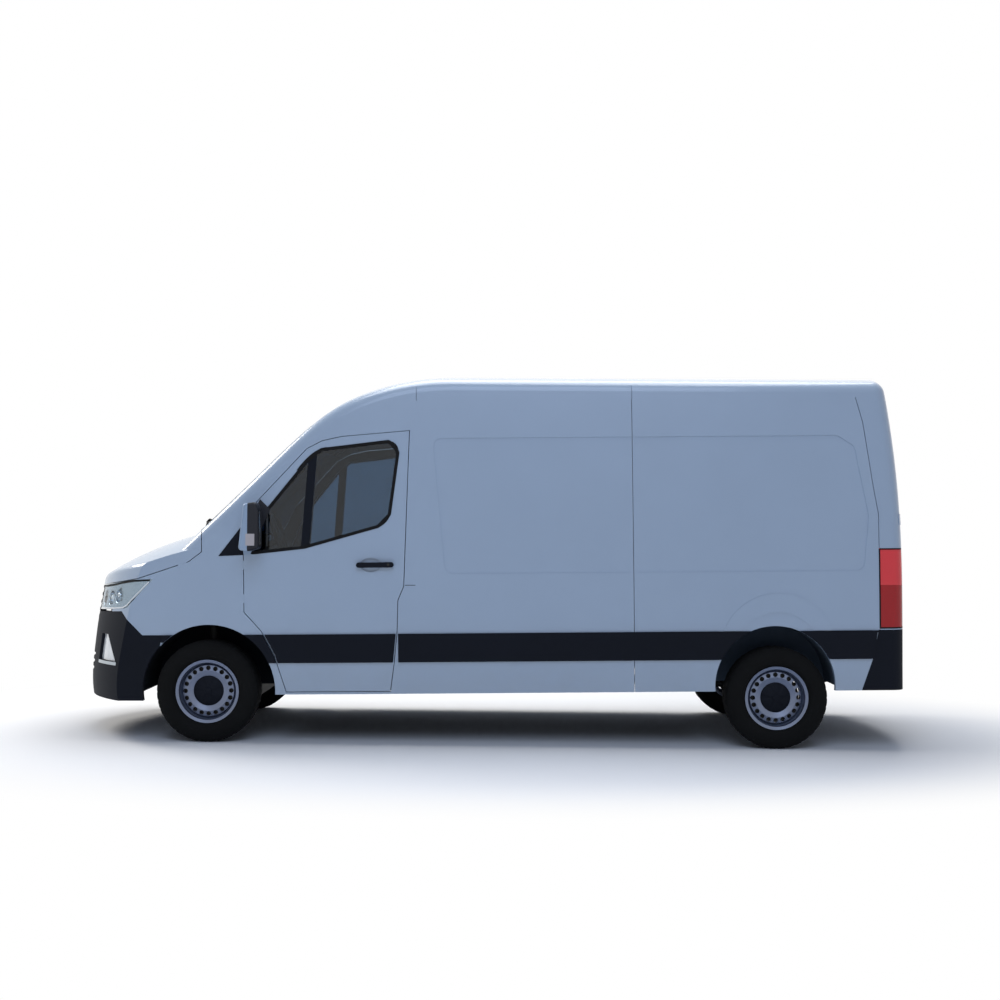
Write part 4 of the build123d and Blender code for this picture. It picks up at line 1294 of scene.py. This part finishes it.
# %% Driver's seat and bench
SEATS = (("driver", ((0.155, 0.645),), (0.4,)), ("bench", ((-0.795, -0.375), (-0.365, 0.055)), (-0.585, -0.155)))
for name, places, heads in SEATS:
    for number, (low_y, high_y) in enumerate(places):
        margin = 0.22 * (high_y - low_y)
        seams = (low_y + margin, high_y - margin)
        pad(f"cushion_{name}_{number + 1}", CUSHION, low_y, high_y, seams)
        pad(f"backrest_{name}_{number + 1}", BACK, low_y + 0.008, high_y - 0.008, seams)
    for number, head_y in enumerate(heads):
        pad(f"head_restraint_{name}_{number + 1}", HEAD, head_y - HEAD_HALF, head_y + HEAD_HALF)
    build = bmesh.new()
    low_y, high_y = places[0][0], places[-1][1]
    rounded_box(build, (-1.130, low_y + 0.035, 0.601), (-0.700, high_y - 0.035, 0.866), 0.012)
    for head_y in heads:
        for post_y in (head_y - 0.06, head_y + 0.06):
            tube(build, [Vector((-1.318, post_y, 1.545)), Vector((-1.320, post_y, 1.665))], 0.007)
    base = finish_piece(f"seat_base_{name}", build, CABIN, "chassis")
    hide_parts(f"seat_{name}")

# %% [markdown]
# ## Steering wheel, dashboard and sun visors
# The airbag pad and its spokes fill the CAD rim. They are modelled flat and tilted by a
# matrix of their own. Screens, air vents and sun visors are small boxes with soft edges.

# %% Steering pad
WHEEL_PLACE = LEVEL @ Matrix.Translation((-0.437, 0.4, 1.388)) @ Matrix.Rotation(math.radians(-70), 4, "Y")
build = bmesh.new()
rounded_box(build, (-0.075, -0.06, 0.010), (0.055, 0.06, 0.034), 0.012)
for spoke_y in (-0.128, 0.092):
    rounded_box(build, (-0.016, spoke_y, 0.004), (0.016, spoke_y + 0.036, 0.014), 0.004)
print(len(build.faces), "faces in the pad and spokes")
finish_piece("steering_pad", build, CABIN, "chassis", place=WHEEL_PLACE)

# %% Screens, vents and visors
build = bmesh.new()
rounded_box(build, (-0.3535, 0.300, 1.330), (-0.349, 0.520, 1.420), 0.002, 2)
rounded_box(build, (-0.4035, -0.110, 1.060), (-0.398, 0.110, 1.200), 0.002, 2)
finish_piece("dashboard_screens", build, GLOSS, "chassis")
build = bmesh.new()
for vent_y in (0.66, 0.20, -0.20, -0.66):
    for k in range(5):
        z = 1.262 + 0.014 * k
        rounded_box(build, (-0.372, vent_y - 0.055, z), (-0.356, vent_y + 0.055, z + 0.004), 0.001, 1)
print(len(build.faces), "faces in the vents")
finish_piece("dashboard_vents", build, SEAL, "chassis")
tilt = Matrix.Rotation(math.radians(28), 4, "Y")
visor_place = LEVEL @ Matrix.Translation((-0.90, 0, 2.10)) @ tilt @ Matrix.Translation((0.90, 0, -2.14))
for side, sign in SIDES:
    build = bmesh.new()
    rounded_box(build, (-0.90, 0.16, 2.130), (-0.74, 0.58, 2.148), 0.008)
    finish_piece(
        f"sun_visor_{side}", build, HEADLINER, "chassis", place=visor_place, mirrored=sign < 0
    )

# %% [markdown]
# ## White surroundings that do not light the van
# The world gives a little cool light. For rays of the camera, in gloss and through glass
# it is plain white instead, so the backdrop is white without lighting the van too much.

# %% World
WORLD_LIGHT = 0.25
WHITE = linear("#ffffff")


def seen_white(tree):
    """Socket that is 1 for rays of the camera, of gloss and through glass."""
    path = add(tree, "LightPath")
    total = path.outputs["Is Camera Ray"]
    for ray in ("Is Glossy Ray", "Is Transmission Ray"):
        total = add(tree, "Math", links={0: total, 1: path.outputs[ray]}, operation="MAXIMUM").outputs["Value"]
    return total


world = bpy.data.worlds.new("studio")
world.use_nodes = True
tree = world.node_tree
light = tree.nodes["Background"]
light.inputs["Color"].default_value = linear("#e2ecff")
light.inputs["Strength"].default_value = WORLD_LIGHT
white = add(tree, "Background", {"Color": WHITE, "Strength": 1.0})
reads = {"Fac": seen_white(tree), 1: light.outputs["Background"], 2: white.outputs["Background"]}
mixed = add(tree, "MixShader", links=reads)
tree.links.new(mixed.outputs["Shader"], tree.nodes["World Output"].inputs["Surface"])
bpy.context.scene.world = world
print("world light", WORLD_LIGHT)

# %% [markdown]
# ## Floor
# The floor is matt and nearly white, so it keeps the van's shadow. Away from the van it
# fades into a white glow that only the camera, gloss and glass see, which hides its edge.

# %% Studio floor
FLOOR_SIZE = 60
FADE_HALF = (4.6, 3.0)
build = bmesh.new()
bmesh.ops.create_grid(build, x_segments=1, y_segments=1, size=FLOOR_SIZE)
floor_mesh = bpy.data.meshes.new("studio_floor")
build.to_mesh(floor_mesh)
build.free()
floor = bpy.data.objects.new("studio_floor", floor_mesh)
# Matt white card: no gloss, so that nothing mirrors under the van.
pale = material("pale_floor", "#fafafa", 0.95, vary=0.0, Specular_IOR_Level=0.0)
floor_mesh.materials.append(pale)
tree = pale.node_tree
coords = add(tree, "TexCoord").outputs["Object"]
scale = (1 / FADE_HALF[0], 1 / FADE_HALF[1], 1)
reach = add(tree, "Mapping", {"Scale": scale}, {"Vector": coords})
length = add(tree, "VectorMath", links={0: reach.outputs["Vector"]}, operation="LENGTH")
edges = {"From Min": 0.75, "From Max": 1.15}
fade = add(tree, "MapRange", edges, {"Value": length.outputs["Value"]}, interpolation_type="SMOOTHSTEP")
far = add(tree, "Math", links={0: fade.outputs["Result"], 1: seen_white(tree)}, operation="MULTIPLY")
glow = add(tree, "Emission", {"Color": WHITE, "Strength": 1.0})
card = tree.nodes["Principled BSDF"].outputs["BSDF"]
blend = add(tree, "MixShader", links={"Fac": far.outputs["Value"], 1: card, 2: glow.outputs["Emission"]})
tree.links.new(blend.outputs["Shader"], tree.nodes["Material Output"].inputs["Surface"])
bpy.context.collection.objects.link(floor)
print("floor of", 2 * FLOOR_SIZE, "m")

# %% [markdown]
# ## Light and camera
# Three large soft panels stand for an overcast sky: one above, one ahead of the nose, one
# on the photo's side. The camera stands about 10 m to the left with a lens of about 50 mm,
# and its roll and shift place the horizon as the photo has it.

# %% Light panels
PANELS = (
    ("sky_panel", (-0.5, -1.5, 8), (0, 0, 0), 7, 570, "#ffffff"),
    ("nose_panel", (7, -2.5, 5.5), (2.2, 0, 1.2), 3, 250, "#fffaf2"),
    ("side_panel", (0, 10, 9), (0, 0, 1.2), 7, 360, "#cfe0ff"),
)
for name, place, target, size, power, colour in PANELS:
    data = bpy.data.lights.new(name, "AREA")
    data.size = size
    data.energy = power
    data.color = linear(colour)[:3]
    lamp = bpy.data.objects.new(name, data)
    lamp.location = place
    lamp.rotation_euler = (Vector(target) - Vector(place)).to_track_quat("-Z", "Y").to_euler()
    bpy.context.collection.objects.link(lamp)
    print(name, power, "W")

# %% Camera
PICTURE = 1000
MM_PER_PIXEL = 6.848
NOSE_PIXELS = 293
DISTANCE = 9.5
CAMERA_X = MIDDLE_X - NOSE_PIXELS * MM_PER_PIXEL / 1000
CAMERA_Z = 1.5
HORIZON_SHIFT = 0.028
ROLL = math.radians(0.66)
SENSOR = 36
camera_data = bpy.data.cameras.new("photo_camera")
camera_data.sensor_width = SENSOR
camera_data.lens = SENSOR * DISTANCE / (MM_PER_PIXEL * PICTURE / 1000)
camera_data.shift_y = HORIZON_SHIFT
camera_data.clip_end = 200
camera = bpy.data.objects.new("photo_camera", camera_data)
camera.matrix_world = (
    Matrix.Translation((CAMERA_X, HALF_WIDTH + DISTANCE, CAMERA_Z))
    @ Matrix.Rotation(math.pi, 4, "Z")
    @ Matrix.Rotation(math.pi / 2, 4, "X")
    @ Matrix.Rotation(ROLL, 4, "Z")
)
bpy.context.collection.objects.link(camera)
bpy.context.scene.camera = camera
bpy.context.scene.view_settings.view_transform = "Standard"
print(f"lens of {camera_data.lens:.1f} mm")
